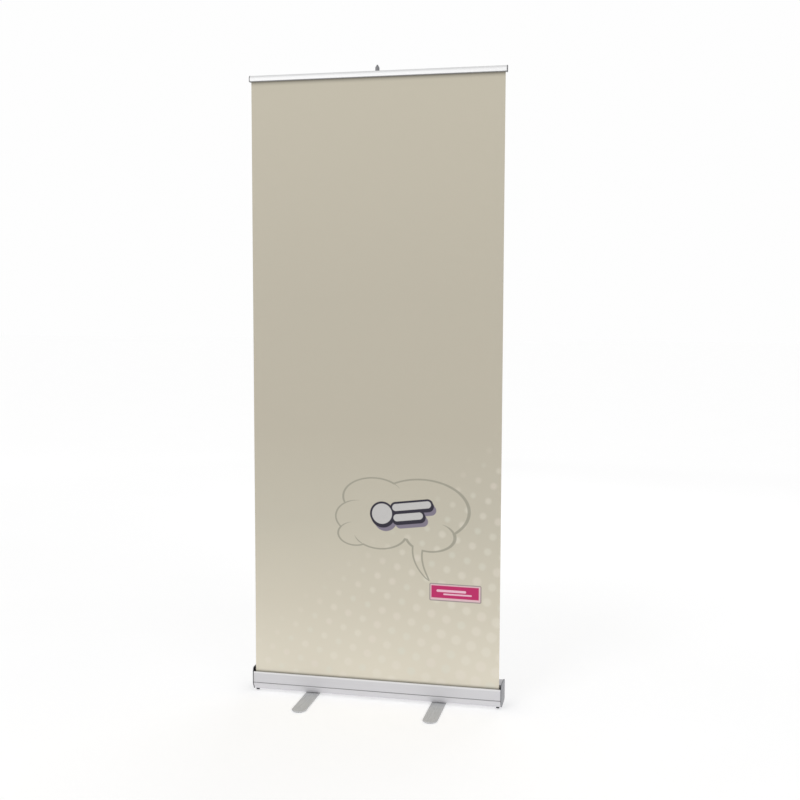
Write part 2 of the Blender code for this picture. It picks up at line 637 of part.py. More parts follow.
def make_foot(side, label):
    """Swing-out foot: a ridged bar with half-round ends and a rubber pad under each end."""
    bar = extrude_outline(f"foot_bar_{label}", foot_outline(), FOOT_THICKNESS / 2, FOOT_GREY,
                          (0, 0, FOOT_BOTTOM_Z + FOOT_THICKNESS / 2), (0, 0, 0), FOOT_AXES[side])
    add_bevel(bar, FOOT_EDGE, segments=1)
    pitch = FOOT_WIDTH / (FOOT_RIDGES + 1)
    for ridge in range(FOOT_RIDGES):
        x = (ridge - (FOOT_RIDGES - 1) / 2) * pitch
        size = (FOOT_RIDGE_WIDTH, FOOT_LENGTH, 2 * FOOT_RIDGE_DEPTH)
        groove = add_object(f"foot_groove_{label}_{ridge}", box_mesh("foot_groove", size), FOOT_GREY,
                            (x, 0, FOOT_TOP_Z), parent=FOOT_AXES[side])
        add_boolean(bar, groove)
    hole = rod(f"foot_hole_{label}", PIVOT_RADIUS + RUNNING, 0, 2 * FOOT_TOP_Z, FOOT_GREY,
               parent=FOOT_AXES[side], steps=24)
    add_boolean(bar, hole)
    pad_radius = FOOT_WIDTH / 2 - FOOT_PAD_INSET
    for end, row in ((-1, "front"), (1, "rear")):
        y = end * (FOOT_LENGTH / 2 - FOOT_WIDTH / 2)
        rod(f"foot_pad_{label}_{row}", pad_radius, 0, FOOT_PAD_THICKNESS, RUBBER,
            (0, y, 0), parent=FOOT_AXES[side])


def make_pivot(side, label):
    """Pivot of a foot: flat-headed bolt from below, spacer washer under the cassette and nut on its floor."""
    place = (side * FOOT_X, 0, 0)
    head_top = FOOT_BOTTOM_Z - TOUCH
    head_bottom = head_top - PIVOT_HEAD_THICKNESS
    nut_bottom = FLOOR_INSIDE_Z + TOUCH
    tip = nut_bottom + NUT_THICKNESS + BOLT_PAST_NUT
    turned(f"pivot_bolt_{label}",
           [(0, tip), (PIVOT_RADIUS, tip), (PIVOT_RADIUS, head_top), (PIVOT_HEAD_RADIUS, head_top),
            (PIVOT_HEAD_RADIUS, head_bottom), (0, head_bottom)], STEEL, place)
    turned(f"pivot_washer_{label}",
           tube_profile(WASHER_RADIUS, PIVOT_RADIUS + TOUCH, FOOT_TOP_Z + TOUCH, BASE_UNDERSIDE - TOUCH),
           BLACK_PLASTIC, place, closed=True)
    nut = rod(f"pivot_nut_{label}", NUT_RADIUS, nut_bottom, nut_bottom + NUT_THICKNESS, STEEL, place, steps=6)
    bore = rod(f"nut_bore_{label}", PIVOT_RADIUS + TOUCH, 0, tip + NUT_THICKNESS, STEEL, place, steps=24)
    add_boolean(nut, bore)


# ---------------------------------------------------------------- rail
def make_rail():
    """Clamp rail: the front extrusion, the hinged jaw behind the banner and an end cap on each end."""
    grip = BANNER_THICKNESS / 2 + TOUCH
    front = -RAIL_FRONT
    path = rounded_path([
        (-grip, RAIL_GRIP, 0),
        (-grip, 0, JAW_EDGE / 2),
        (front, 0, RAIL_EDGE),
        (front, RAIL_HEIGHT, RAIL_ROUND),
        (RAIL_BACK, RAIL_HEIGHT, RAIL_BACK_ROUND),
        (RAIL_BACK, JAW_HEIGHT + 2 * TOUCH, 0),
    ], steps=8)
    place = (0, BANNER_Y, RAIL_Z)
    extrude_outline("rail_profile", wall_outline(path, RAIL_WALL), RAIL_HALF, ALUMINIUM, place)
    jaw_path = rounded_path([
        (RAIL_BACK, JAW_HEIGHT, 0),
        (RAIL_BACK, 0, JAW_EDGE),
        (grip, 0, JAW_EDGE),
        (grip, JAW_GRIP, 0),
    ], steps=4)
    jaw_local = [(y - RAIL_BACK, z - JAW_HEIGHT) for y, z in wall_outline(jaw_path, JAW_WALL)]
    extrude_outline("rail_jaw", jaw_local, RAIL_HALF, ALUMINIUM, parent=JAW_AXIS)
    for side, label in ((-1, "left"), (1, "right")):
        proud = RAIL_CAP_PROUD
        outline = rounded_path([
            (front - proud, -proud, RAIL_EDGE),
            (front - proud, RAIL_HEIGHT + proud, RAIL_ROUND),
            (RAIL_BACK + proud, RAIL_HEIGHT + proud, RAIL_BACK_ROUND),
            (RAIL_BACK + proud, -proud, RAIL_EDGE),
        ], closed=True, steps=8)
        cap_x = side * (RAIL_HALF + TOUCH + RAIL_CAP_THICKNESS / 2)
        cap = extrude_outline(f"rail_cap_{label}", outline, RAIL_CAP_THICKNESS / 2, CAP_GREY,
                              (cap_x, BANNER_Y, RAIL_Z))
        add_bevel(cap, RAIL_CAP_EDGE)


# ---------------------------------------------------------------- pole
def make_pole():
    """Three tubes joined by ferrules, with a plug at the foot, a hooked head and a bungee cord inside."""
    bore = POLE_RADIUS - POLE_WALL
    ferrule = bore - RUNNING
    for index, label in enumerate(("lower", "middle", "upper")):
        bottom = index * (SECTION_LENGTH + TOUCH)
        section = tube_profile(POLE_RADIUS, bore, bottom, bottom + SECTION_LENGTH)
        turned(f"pole_tube_{label}", section, ALUMINIUM, parent=POLE_AXIS, closed=True)
        if label != "upper":
            middle = bottom + SECTION_LENGTH
            turned(f"pole_ferrule_{label}",
                   tube_profile(ferrule, ferrule - FERRULE_WALL, middle - FERRULE_LENGTH / 2,
                                middle + FERRULE_LENGTH / 2), STEEL, parent=POLE_AXIS, closed=True, steps=24)
    rod("pole_foot_plug", bore - TOUCH, TOUCH, POLE_PLUG_LENGTH, BLACK_PLASTIC, parent=POLE_AXIS)
    make_head(bore)


def make_head(bore):
    """Moulded pole head: stem in the tube, collar, cone and a hook that reaches forward to the rail."""
    collar_bottom = HEAD_TIP - HEAD_CONE - HEAD_COLLAR
    cone_bottom = HEAD_TIP - HEAD_CONE
    stem = bore - TOUCH
    stem_bottom = collar_bottom - FERRULE_LENGTH / 3
    head = turned("pole_head",
                  [(0, HEAD_TIP), (HEAD_TIP_RADIUS, HEAD_TIP - TOUCH), (HEAD_RADIUS, cone_bottom),
                   (HEAD_RADIUS, collar_bottom), (stem, collar_bottom), (stem, stem_bottom),
                   (0, stem_bottom)],
                  BLACK_PLASTIC, parent=POLE_AXIS)
    hook_z = RAIL_Z + JAW_HEIGHT + HOOK_ABOVE_JAW
    hook_along = (hook_z - SOCKET_FLOOR_Z) / math.cos(POLE_LEAN)
    axis_y = place_on_pole(hook_along).y
    nose_y = RAIL_BACK_Y + HOOK_GAP
    nose_top = hook_z + HOOK_NOSE
    arm_top = hook_z + HOOK_THICKNESS
    arm = [(axis_y, hook_z), (nose_y, hook_z), (nose_y, nose_top), (nose_y + HOOK_LIP, nose_top),
           (nose_y + HOOK_LIP, arm_top), (axis_y, arm_top)]
    hook = extrude_outline("hook_arm", arm, HOOK_WIDTH / 2, BLACK_PLASTIC)
    add_boolean(head, hook, "UNION")
    cord_top = stem_bottom - TOUCH
    cord_bottom = POLE_PLUG_LENGTH + TOUCH
    rod("bungee_cord", CORD_RADIUS, cord_bottom, cord_top, CORD_BLACK, parent=POLE_AXIS, steps=8)


# ---------------------------------------------------------------- build
clear_scene()
STAND = new_collection("roll_up_banner_stand")
CUTTERS = new_collection("cutters", is_cutter=True)

ALUMINIUM = make_material("anodised_aluminium", (0.66, 0.66, 0.68), 0.32, 0.9)
CAP_GREY = make_material("silver_cap_plastic", (0.42, 0.42, 0.44), 0.42, 0.2)
FOOT_GREY = make_material("foot_metal", (0.42, 0.42, 0.42), 0.45, 0.6)
STEEL = make_material("zinc_steel", (0.55, 0.55, 0.56), 0.35, 1.0)
BLACK_PLASTIC = make_material("dark_plastic", (0.04, 0.04, 0.045), 0.5)
RUBBER = make_material("black_rubber", (0.02, 0.02, 0.02), 0.8)
BANNER_FILM = make_material("banner_print", (0.57, 0.53, 0.42), 0.6)
LEADER_FILM = make_material("leader_film", (0.75, 0.75, 0.75), 0.4)
CORD_BLACK = make_material("cord", (0.03, 0.03, 0.03), 0.9)

POLE_AXIS = add_axis("pole_axis", (0, POLE_FOOT_Y, SOCKET_FLOOR_Z), (POLE_LEAN, 0, 0))
ROLLER_AXIS = add_axis("roller_axis", (0, ROLLER_Y, ROLLER_Z), ALONG_X)
JAW_AXIS = add_axis("jaw_axis", (0, RAIL_BACK_Y, RAIL_Z + JAW_HEIGHT))
FOOT_AXES = {side: add_axis("foot_axis", (side * FOOT_X, 0, 0)) for side in (-1, 1)}

make_shell()
make_bumpers()
make_socket()
make_roller()
make_spring()
make_axles()
make_banner()
make_leader()
make_rail()
make_pole()
for hand, word in ((-1, "left"), (1, "right")):
    make_end_cap(hand, word)
    for screw_index, port_place in enumerate(port_places()):
        make_cap_screw(hand, word, screw_index, port_place)
    make_foot(hand, word)
    make_pivot(hand, word)
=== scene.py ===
"""Roll-up banner stand, finished: cassette, feet, pole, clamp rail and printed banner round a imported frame.

Metres, +Z up. The origin is on the floor under the middle of the cassette and the banner faces -Y.
"""
import json
import math

import bpy
import numpy as np
from mathutils import Matrix, Vector
from mathutils.geometry import tessellate_polygon


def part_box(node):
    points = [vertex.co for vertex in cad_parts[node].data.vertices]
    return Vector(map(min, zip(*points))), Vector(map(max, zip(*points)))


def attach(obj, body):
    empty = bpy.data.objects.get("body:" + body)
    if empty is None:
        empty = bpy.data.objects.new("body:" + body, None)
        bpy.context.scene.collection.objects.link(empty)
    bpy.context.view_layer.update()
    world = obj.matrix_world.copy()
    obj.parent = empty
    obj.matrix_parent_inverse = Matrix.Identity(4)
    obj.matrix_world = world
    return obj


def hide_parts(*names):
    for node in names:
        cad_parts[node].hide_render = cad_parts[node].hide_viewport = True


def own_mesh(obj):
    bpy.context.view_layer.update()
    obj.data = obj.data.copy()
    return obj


bl_info = {
    "name": "Roll-up banner stand",
    "version": (1, 0, 0),
    "blender": (4, 5, 0),
    "location": "3D View > Sidebar > Banner stand",
    "description": "Builds the finished surfaces of a roll-up banner stand",
    "category": "Add Mesh",
}

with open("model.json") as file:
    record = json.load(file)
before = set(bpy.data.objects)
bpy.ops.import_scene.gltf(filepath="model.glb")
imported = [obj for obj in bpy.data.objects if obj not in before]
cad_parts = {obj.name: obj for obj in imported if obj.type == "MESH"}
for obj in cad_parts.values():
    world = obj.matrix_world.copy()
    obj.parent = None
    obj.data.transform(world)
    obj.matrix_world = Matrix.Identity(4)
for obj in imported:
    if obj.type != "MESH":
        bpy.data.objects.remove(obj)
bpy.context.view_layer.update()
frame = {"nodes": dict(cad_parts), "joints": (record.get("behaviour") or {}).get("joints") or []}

SHELL_LO, SHELL_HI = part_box("cassette_shell")
CAP_LO, CAP_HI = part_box("end_cap_right")
BANNER_LO, BANNER_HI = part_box("banner")
RAIL_LO, RAIL_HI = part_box("rail_profile")
JAW_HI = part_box("rail_jaw")[1]
RAIL_CAP_LO, RAIL_CAP_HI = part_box("rail_cap_right")
TUBE_LO, TUBE_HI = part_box("roller_tube")
FOOT_LO, FOOT_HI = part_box("foot_bar_right")
HEAD_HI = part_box("pole_head")[1]

BANNER_Y = (BANNER_LO.y + BANNER_HI.y) / 2
BANNER_WIDTH = BANNER_HI.x - BANNER_LO.x
BANNER_LENGTH = BANNER_HI.z - BANNER_LO.z
ROLLER_Y = (TUBE_LO.y + TUBE_HI.y) / 2
ROLLER_Z = (TUBE_LO.z + TUBE_HI.z) / 2
FOOT_X = (FOOT_LO.x + FOOT_HI.x) / 2
LIP_Z = 0.0705
POLE_FOOT = np.array((0.0, 0.0277567, 0.0115477))
POLE_LEAN = math.radians(1.0075752)
SIDES = ((-1, "left"), (1, "right"))
ON_AXIS = 0.00001               # radius where a turned profile meets its axis


# ---------------------------------------------------------------- colours
def tint(red, green, blue):
    """Linear colour of an 8-bit display colour."""
    shown = np.array((red, green, blue)) / 255
    linear = np.where(shown <= 0.04045, shown / 12.92, ((shown + 0.055) / 1.055) ** 2.4)
    return tuple(float(part) for part in linear)


# ---------------------------------------------------------------- curves and meshes
def rounded(corners, closed=False, step=math.radians(7)):
    """Outline through (a, b, radius) corners.

    Each corner is replaced by the arc that touches both its sides: the arc starts radius / tan(half the
    corner's angle) before the corner, and its points are the start turned about the arc's centre.
    """
    points = [np.array(corner[:2], float) for corner in corners]
    outline = []
    count = len(points)
    for index, corner in enumerate(points):
        radius = corners[index][2]
        if radius == 0 or (not closed and index in (0, count - 1)):
            outline.append(corner[None])
            continue
        before = points[index - 1] - corner
        after = points[(index + 1) % count] - corner
        before /= np.linalg.norm(before)
        after /= np.linalg.norm(after)
        half = math.acos(np.clip(before @ after, -1, 1)) / 2
        middle = (before + after) / np.linalg.norm(before + after)
        centre = corner + middle * radius / math.sin(half)
        start = corner + before * radius / math.tan(half) - centre
        turn = (math.pi - 2 * half) * (1 if before[0] * after[1] - before[1] * after[0] < 0 else -1)
        angles = np.linspace(0, turn, max(3, int(abs(turn) / step) + 2))
        cos, sin = np.cos(angles), np.sin(angles)
        arc = np.stack((start[0] * cos - start[1] * sin, start[0] * sin + start[1] * cos), 1)
        outline.append(arc + centre)
    return np.concatenate(outline)


def parallel(outline, distance, closed=True):
    """The outline moved to its left by a distance: each point goes along the mean of its sides' normals."""
    if closed:
        ahead = np.roll(outline, -1, 0) - outline
        behind = outline - np.roll(outline, 1, 0)
    else:
        ahead = np.diff(outline, axis=0, append=outline[-1:])
        behind = np.diff(outline, axis=0, prepend=outline[:1])
        ahead[-1] = behind[-1]
        behind[0] = ahead[0]
    ahead = ahead / np.linalg.norm(ahead, axis=1, keepdims=True)
    behind = behind / np.linalg.norm(behind, axis=1, keepdims=True)
    normals = np.stack((-ahead[:, 1], ahead[:, 0]), 1)
    others = np.stack((-behind[:, 1], behind[:, 0]), 1)
    middle = normals + others
    middle /= np.linalg.norm(middle, axis=1, keepdims=True)
    stretch = np.maximum((middle * normals).sum(1, keepdims=True), 0.4)
    return outline + middle * distance / stretch


def area_of(outline):
    """Signed area of a closed outline, by the sum of its cross products."""
    ahead = np.roll(outline, -1, 0)
    return float((outline[:, 0] * ahead[:, 1] - outline[:, 1] * ahead[:, 0]).sum() / 2)


def inset(outline, distance):
    """A closed outline moved inwards by a distance."""
    return parallel(outline, distance if area_of(outline) > 0 else -distance)


def quads(rows, columns, round_rows=False, round_columns=True):
    """Corner numbers of the faces of a grid of points, row after row, closed round either way."""
    row = np.arange(rows if round_rows else rows - 1)
    column = np.arange(columns if round_columns else columns - 1)
    row, column = np.meshgrid(row, column, indexing="ij")
    next_row, next_column = (row + 1) % rows, (column + 1) % columns
    faces = (row * columns + column, row * columns + next_column,
             next_row * columns + next_column, next_row * columns + column)
    return np.stack(faces, -1).reshape(-1, 4)


def signed_volume(points, faces):
    """Volume inside a closed mesh: the sum of the tetrahedra from the origin to each face's fan."""
    total = 0.0
    for face in faces:
        for second in range(1, face.shape[1] - 1):
            a, b, c = points[face[:, 0]], points[face[:, second]], points[face[:, second + 1]]
            total += float((a * np.cross(b, c)).sum() / 6)
    return total


def new_mesh(name, points, faces, smooth=math.radians(38)):
    """Mesh of points and arrays of faces, turned so that its faces point outwards."""
    if signed_volume(points, faces) < 0:
        faces = [face[:, ::-1] for face in faces]
    mesh = bpy.data.meshes.new(name)
    mesh.vertices.add(len(points))
    mesh.vertices.foreach_set("co", points.astype(np.float32).ravel())
    corners = np.concatenate([face.ravel() for face in faces])
    sizes = np.concatenate([np.full(len(face), face.shape[1]) for face in faces])
    mesh.loops.add(len(corners))
    mesh.loops.foreach_set("vertex_index", corners.astype(np.int32))
    mesh.polygons.add(len(sizes))
    mesh.polygons.foreach_set("loop_start", (np.cumsum(sizes) - sizes).astype(np.int32))
    mesh.update(calc_edges=True)
    mesh.validate()
    mesh.shade_smooth()
    mesh.set_sharp_from_angle(angle=smooth)
    return mesh


def loft(rings, ends="caps"):
    """Points and faces of a surface through closed rings of points.

    Its ends are closed with a fan to each end ring's middle, or the last ring joins the first.
    """
    count, around = rings.shape[:2]
    points = rings.reshape(-1, 3)
    faces = [quads(count, around, round_rows=ends == "ring")]
    if ends == "caps":
        middles = rings[[0, -1]].mean(1)
        points = np.concatenate((points, middles))
        first = np.arange(around)
        second = (first + 1) % around
        last = (count - 1) * around
        bottom = np.stack((second, first, np.full(around, count * around)), 1)
        top = np.stack((last + first, last + second, np.full(around, count * around + 1)), 1)
        faces += [bottom, top]
    return points, faces


def prism(outline, x0, x1, edge=0.0003):
    """Bar with one (y, z) outline from x0 to x1, its two end faces filled and their rims chamfered."""
    inner = inset(outline, edge)
    loops = [(inner, x0), (outline, x0 + edge), (outline, x1 - edge), (inner, x1)]
    rings = np.stack([np.column_stack((np.full(len(loop), x), loop)) for loop, x in loops])
    count = len(outline)
    near = np.array(tessellate_polygon([[Vector((0, y, z)) for y, z in inner]]))
    if (area_of(inner[near[0]]) > 0) == (area_of(outline) > 0):
        near = near[:, ::-1]
    far = near[:, ::-1] + 3 * count
    return rings.reshape(-1, 3), [quads(4, count), near, far]


def cushion(outline, low, high, edge, steps=5):
    """Rings of a plate with one outline from low to high, whose rims are rounded by quarter circles."""
    turn = np.linspace(0, math.pi / 2, steps)
    insets = np.concatenate((edge * (1 - np.sin(turn)), edge * (1 - np.cos(turn))))
    heights = np.concatenate((low + edge * (1 - np.cos(turn)), high - edge * (1 - np.sin(turn))))
    return [(inset(outline, amount), height) for amount, height in zip(insets, heights)]


def turned(profile, around=64):
    """Rings of a surface of revolution about Z from a profile of (radius, height)."""
    profile = np.asarray(profile, float)
    angles = np.arange(around) * (2 * math.pi / around)
    circle = np.stack((np.cos(angles), np.sin(angles)), 1)
    rings = np.empty((len(profile), around, 3))
    rings[:, :, :2] = profile[:, None, :1] * circle
    rings[:, :, 2] = profile[:, 1:]
    return rings


def moved(part, matrix):
    """A surface's points taken through a matrix, with the same faces."""
    points, faces = part
    matrix = np.array(matrix)
    return points @ matrix[:3, :3].T + matrix[:3, 3], faces


def pole_matrix():
    """From the pole's own frame, with Z up its leaning axis, to the stand's."""
    return Matrix.Translation(POLE_FOOT) @ Matrix.Rotation(POLE_LEAN, 4, "X")


def along_x(side=1):
    """Turns a surface about Z to one about the X axis, its top to the right or the left."""
    return Matrix.Rotation(side * math.pi / 2, 4, "Y")


def carve(mesh, cutters):
    """The mesh with closed surfaces cut out of it by exact Booleans."""
    body = bpy.data.objects.new("carved", mesh)
    scene = bpy.context.scene
    scene.collection.objects.link(body)
    tools = []
    for index, (points, faces) in enumerate(cutters):
        tool = bpy.data.objects.new(f"cutter_{index}", new_mesh("cutter", points, faces))
        scene.collection.objects.link(tool)
        tools.append(tool)
        cut = body.modifiers.new(f"cut_{index}", "BOOLEAN")
        cut.object = tool
        cut.operation = "DIFFERENCE"
        cut.solver = "EXACT"
    bpy.context.view_layer.update()
    graph = bpy.context.evaluated_depsgraph_get()
    result = bpy.data.meshes.new_from_object(body.evaluated_get(graph))
    for obj in (body, *tools):
        bpy.data.objects.remove(obj, do_unlink=True)
    result.shade_smooth()
    result.set_sharp_from_angle(angle=math.radians(38))
    return result


def add_piece(name, mesh, material, body, replaces=()):
    """Shown piece of the stand: its finish, the body it rides on and the plain nodes it stands for."""
    mesh.name = name
    mesh.materials.clear()
    mesh.materials.append(material)
    piece = bpy.data.objects.new(name, mesh)
    bpy.context.scene.collection.objects.link(piece)
    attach(piece, body)
    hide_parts(*replaces)
    return piece


def dress(names, material):
    """Gives carried-over nodes their finish."""
    for name in names:
        node = frame["nodes"][name]
        node.data.materials.clear()
        node.data.materials.append(material)


# ---------------------------------------------------------------- shader graphs
class Wire:
    """A socket's value. Arithmetic on it adds Math nodes."""

    def __init__(self, graph, socket):
        self.graph = graph
        self.socket = socket

    def math(self, operation, *others, clamp=False):
        values = {index: value for index, value in enumerate((self, *others))}
        return self.graph.node("ShaderNodeMath", {"operation": operation, "use_clamp": clamp}, values)

    def __add__(self, other):
        return self.math("ADD", other)

    def __mul__(self, other):
        return self.math("MULTIPLY", other)

    def __sub__(self, other):
        return self.math("SUBTRACT", other)

    def __rsub__(self, other):
        return self.graph.node("ShaderNodeMath", {"operation": "SUBTRACT"}, {0: other, 1: self})

    def __truediv__(self, other):
        return self.math("DIVIDE", other)

    __radd__ = __add__
    __rmul__ = __mul__

    def least(self, other):
        return self.math("MINIMUM", other)

    def most(self, other):
        return self.math("MAXIMUM", other)

    def size(self):
        return self.math("ABSOLUTE")

    def root(self):
        return self.math("SQRT")

    def below(self, limit, soft):
        """1 where the value is under a limit, falling to 0 over a soft width."""
        return ((limit - self) / soft + 0.5).math("MULTIPLY", 1.0, clamp=True)


class Graph:
    """A material's node tree with one Principled shader."""

    def __init__(self, name):
        self.material = bpy.data.materials.new(name)
        self.material.use_nodes = True
        self.tree = self.material.node_tree
        self.shader = self.tree.nodes["Principled BSDF"]

    def feed(self, socket, value):
        """Links a wire to a socket, or sets its value."""
        if isinstance(value, Wire):
            self.tree.links.new(value.socket, socket)
        elif hasattr(value, "__len__") and len(value) == 3 and socket.type == "RGBA":
            socket.default_value = (*value, 1.0)
        else:
            socket.default_value = value

    def node(self, kind, settings=None, values=None, output=0):
        """Adds a node with its settings and the values or wires of its sockets; gives one output."""
        node = self.tree.nodes.new(kind)
        for key, value in (settings or {}).items():
            setattr(node, key, value)
        for key, value in (values or {}).items():
            self.feed(node.inputs[key], value)
        return Wire(self, node.outputs[output])

    def mix(self, amount, first, second):
        """Colour between two colours."""
        return self.node("ShaderNodeMix", {"data_type": "RGBA", "clamp_factor": True},
                         {0: amount, 6: first, 7: second}, output=2)

    def ramp(self, amount, stops):
        """Colour ramp over (place, colour) stops."""
        wire = self.node("ShaderNodeValToRGB", None, {0: amount})
        elements = wire.socket.node.color_ramp.elements
        while len(elements) < len(stops):
            elements.new(1.0)
        for element, (place, colour) in zip(elements, stops):
            element.position = place
            element.color = (*colour, 1.0)
        return wire

    def coordinates(self, scale=(1, 1, 1), turn=(0, 0, 0)):
        """Object coordinates, stretched and turned."""
        place = self.node("ShaderNodeTexCoord", output="Object")
        return self.node("ShaderNodeMapping", None, {"Vector": place, "Rotation": turn, "Scale": scale})

    def noise(self, place, scale, detail=2.0, roughness=0.5):
        """Fractal noise between 0 and 1."""
        return self.node("ShaderNodeTexNoise", None,
                         {"Vector": place, "Scale": scale, "Detail": detail, "Roughness": roughness})

    def band(self, axis, place, half, soft):
        """1 within a half width of a place along an object axis, falling to 0 over a soft width."""
        split = self.node("ShaderNodeSeparateXYZ", None, {0: self.coordinates()}).socket.node
        return (Wire(self, split.outputs[axis]) - place).size().below(half, soft)

    def finish(self, colour, roughness, metallic=0.0, height=None, bump=0.3, distance=0.0002, **plain):
        """Feeds the shader and gives the material."""
        self.feed(self.shader.inputs["Base Color"], colour)
        self.feed(self.shader.inputs["Roughness"], roughness)
        self.feed(self.shader.inputs["Metallic"], metallic)
        for key, value in plain.items():
            self.feed(self.shader.inputs[key.replace("_", " ")], value)
        if height is not None:
            bumped = self.node("ShaderNodeBump", None,
                               {"Strength": bump, "Distance": distance, "Height": height})
            self.feed(self.shader.inputs["Normal"], bumped)
        return self.material


def shade(colour, factor):
    """A colour made lighter or darker."""
    return tuple(min(1.0, part * factor) for part in colour)


def extruded_metal(name, colour, roughness, metallic, bands=()):
    """Satin anodised aluminium: faint die lines along the bar, cloudy tone and a few handling marks.

    Each band of (axis, place, half width, soft width, strength) is painted light: a darker strip of
    painted shade over a recess or underside, or a brighter strip of painted highlight when its strength is
    negative.
    """
    g = Graph(name)
    fine = g.noise(g.coordinates((6, 2600, 2600)), 1.0, 2.0)
    coarse = g.noise(g.coordinates((1.2, 240, 240)), 1.0, 3.0)
    cloud = g.noise(g.coordinates((5, 22, 22)), 1.0, 3.0)
    rubbed = g.noise(g.coordinates((70, 70, 70)), 1.0, 6.0, 0.7)
    tone = fine * 0.35 + coarse * 0.35 + cloud * 0.30
    base = g.mix(tone, shade(colour, 0.90), shade(colour, 1.09))
    marks = (rubbed - 0.62).math("MULTIPLY", 6.0, clamp=True)
    base = g.mix(marks * 0.22, base, shade(colour, 1.18))
    rough = coarse * 0.10 + cloud * 0.08 + (roughness - 0.09) + marks * 0.08
    # Painted shade and painted highlights, mixed into the colour along each band.
    for axis, place, half, soft, strength in bands:
        painted_light_colour = shade(colour, 0.12 if strength > 0 else 1.5)
        base = g.mix(g.band(axis, place, half, soft) * abs(strength), base, painted_light_colour)
    return g.finish(base, rough, metallic, fine * 0.5 + coarse * 0.5, 0.25, 0.00006)


def tube_metal(name, colour):
    """Drawn tube: fine lines up the tube and a soft bloom."""
    g = Graph(name)
    fine = g.noise(g.coordinates((1800, 1800, 8)), 1.0, 2.0)
    cloud = g.noise(g.coordinates((30, 30, 6)), 1.0, 3.0)
    base = g.mix(fine * 0.5 + cloud * 0.5, shade(colour, 0.86), shade(colour, 1.12))
    return g.finish(base, cloud * 0.16 + 0.24, 0.9, fine, 0.2, 0.00005)


def moulded(name, colour, roughness=0.45, grain=1500, metallic=0.0, worn=1.18, shade_within=None):
    """Moulded plastic: a fine spark grain, a slow flow mottle and rubbed high spots.

    Given that limit along X, only what is farther out has the colour; the rest, the cap's inner face, is made
    near black: painted shade for the dark inside of the cassette.
    """
    g = Graph(name)
    spark = g.noise(g.coordinates(), grain, 3.0, 0.6)
    flow = g.noise(g.coordinates(), 26.0, 4.0)
    rubbed = g.noise(g.coordinates(), 160.0, 5.0, 0.65)
    base = g.mix(flow * 0.6 + spark * 0.4, shade(colour, 0.88), shade(colour, 1.10))
    marks = (rubbed - 0.6).math("MULTIPLY", 5.0, clamp=True)
    base = g.mix(marks * 0.25, base, shade(colour, worn))
    # Painted shade: the cap's inner face is made near black for the dark inside of the cassette.
    if shade_within is not None:
        base = g.mix(g.band("X", 0.0, shade_within, 0.0002), base, (0.012, 0.012, 0.013))
    rough = spark * 0.14 + flow * 0.10 + (roughness - 0.12)
    return g.finish(base, rough, metallic, spark, 0.3, 0.00012)


def plated(name, colour, roughness=0.3):
    """Zinc-plated steel: a fine crystal mottle with slightly dull patches."""
    g = Graph(name)
    crystals = g.node("ShaderNodeTexVoronoi", None, {"Vector": g.coordinates(), "Scale": 700.0})
    cloud = g.noise(g.coordinates(), 90.0, 4.0)
    base = g.mix(crystals * 0.4 + cloud * 0.6, shade(colour, 0.82), shade(colour, 1.12))
    return g.finish(base, cloud * 0.2 + (roughness - 0.1), 1.0, crystals, 0.15, 0.00008)


def painted_foot(name, colour):
    """Powder-coated foot bar: fine orange peel, a dull cast and scuffs along its length."""
    g = Graph(name)
    peel = g.noise(g.coordinates(), 1100.0, 2.0)
    drawn = g.noise(g.coordinates((900, 12, 900)), 1.0, 3.0)
    cloud = g.noise(g.coordinates(), 18.0, 4.0)
    scuff = g.noise(g.coordinates((220, 26, 220)), 1.0, 5.0, 0.7)
    base = g.mix(drawn * 0.4 + cloud * 0.6, shade(colour, 0.92), shade(colour, 1.08))
    marks = (scuff - 0.63).math("MULTIPLY", 7.0, clamp=True)
    base = g.mix(marks * 0.3, base, shade(colour, 1.25))
    return g.finish(base, drawn * 0.12 + cloud * 0.1 + 0.46, 0.08, peel * 0.6 + drawn * 0.4, 0.25, 0.0001)


def black_rubber(name, colour):
    """Rubber: matt, with a fine pebble and a dusty bloom."""
    g = Graph(name)
    pebble = g.noise(g.coordinates(), 900.0, 3.0, 0.6)
    dust = g.noise(g.coordinates(), 60.0, 5.0, 0.6)
    base = g.mix(dust * pebble * 1.6, shade(colour, 0.7), shade(colour, 2.2))
    return g.finish(base, dust * 0.15 + 0.72, 0.0, pebble, 0.4, 0.0002)


def film(name, colour, roughness=0.42):
    """Plain banner film: a smooth skin with a very fine scrim under it."""
    g = Graph(name)
    scrim = g.noise(g.coordinates((1600, 1600, 1600)), 1.0, 1.0)
    cloud = g.noise(g.coordinates(), 9.0, 4.0)
    base = g.mix(cloud * 0.7 + scrim * 0.3, shade(colour, 0.95), shade(colour, 1.04))
    return g.finish(base, cloud * 0.12 + (roughness - 0.06), 0.0, scrim, 0.12, 0.00008)


def braided(name, colour):
    """Braided cord: two crossed sets of strands."""
    g = Graph(name)
    place = g.coordinates()
    strands = {"wave_type": "BANDS", "bands_direction": "DIAGONAL"}
    left = g.node("ShaderNodeTexWave", strands, {"Vector": place, "Scale": 260.0, "Distortion": 0.6})
    fuzz = g.noise(g.coordinates(), 1500.0, 3.0)
    base = g.mix(left * 0.7 + fuzz * 0.3, shade(colour, 0.6), shade(colour, 1.7))
    return g.finish(base, 0.85, 0.0, left * 0.7 + fuzz * 0.3, 0.5, 0.0003)


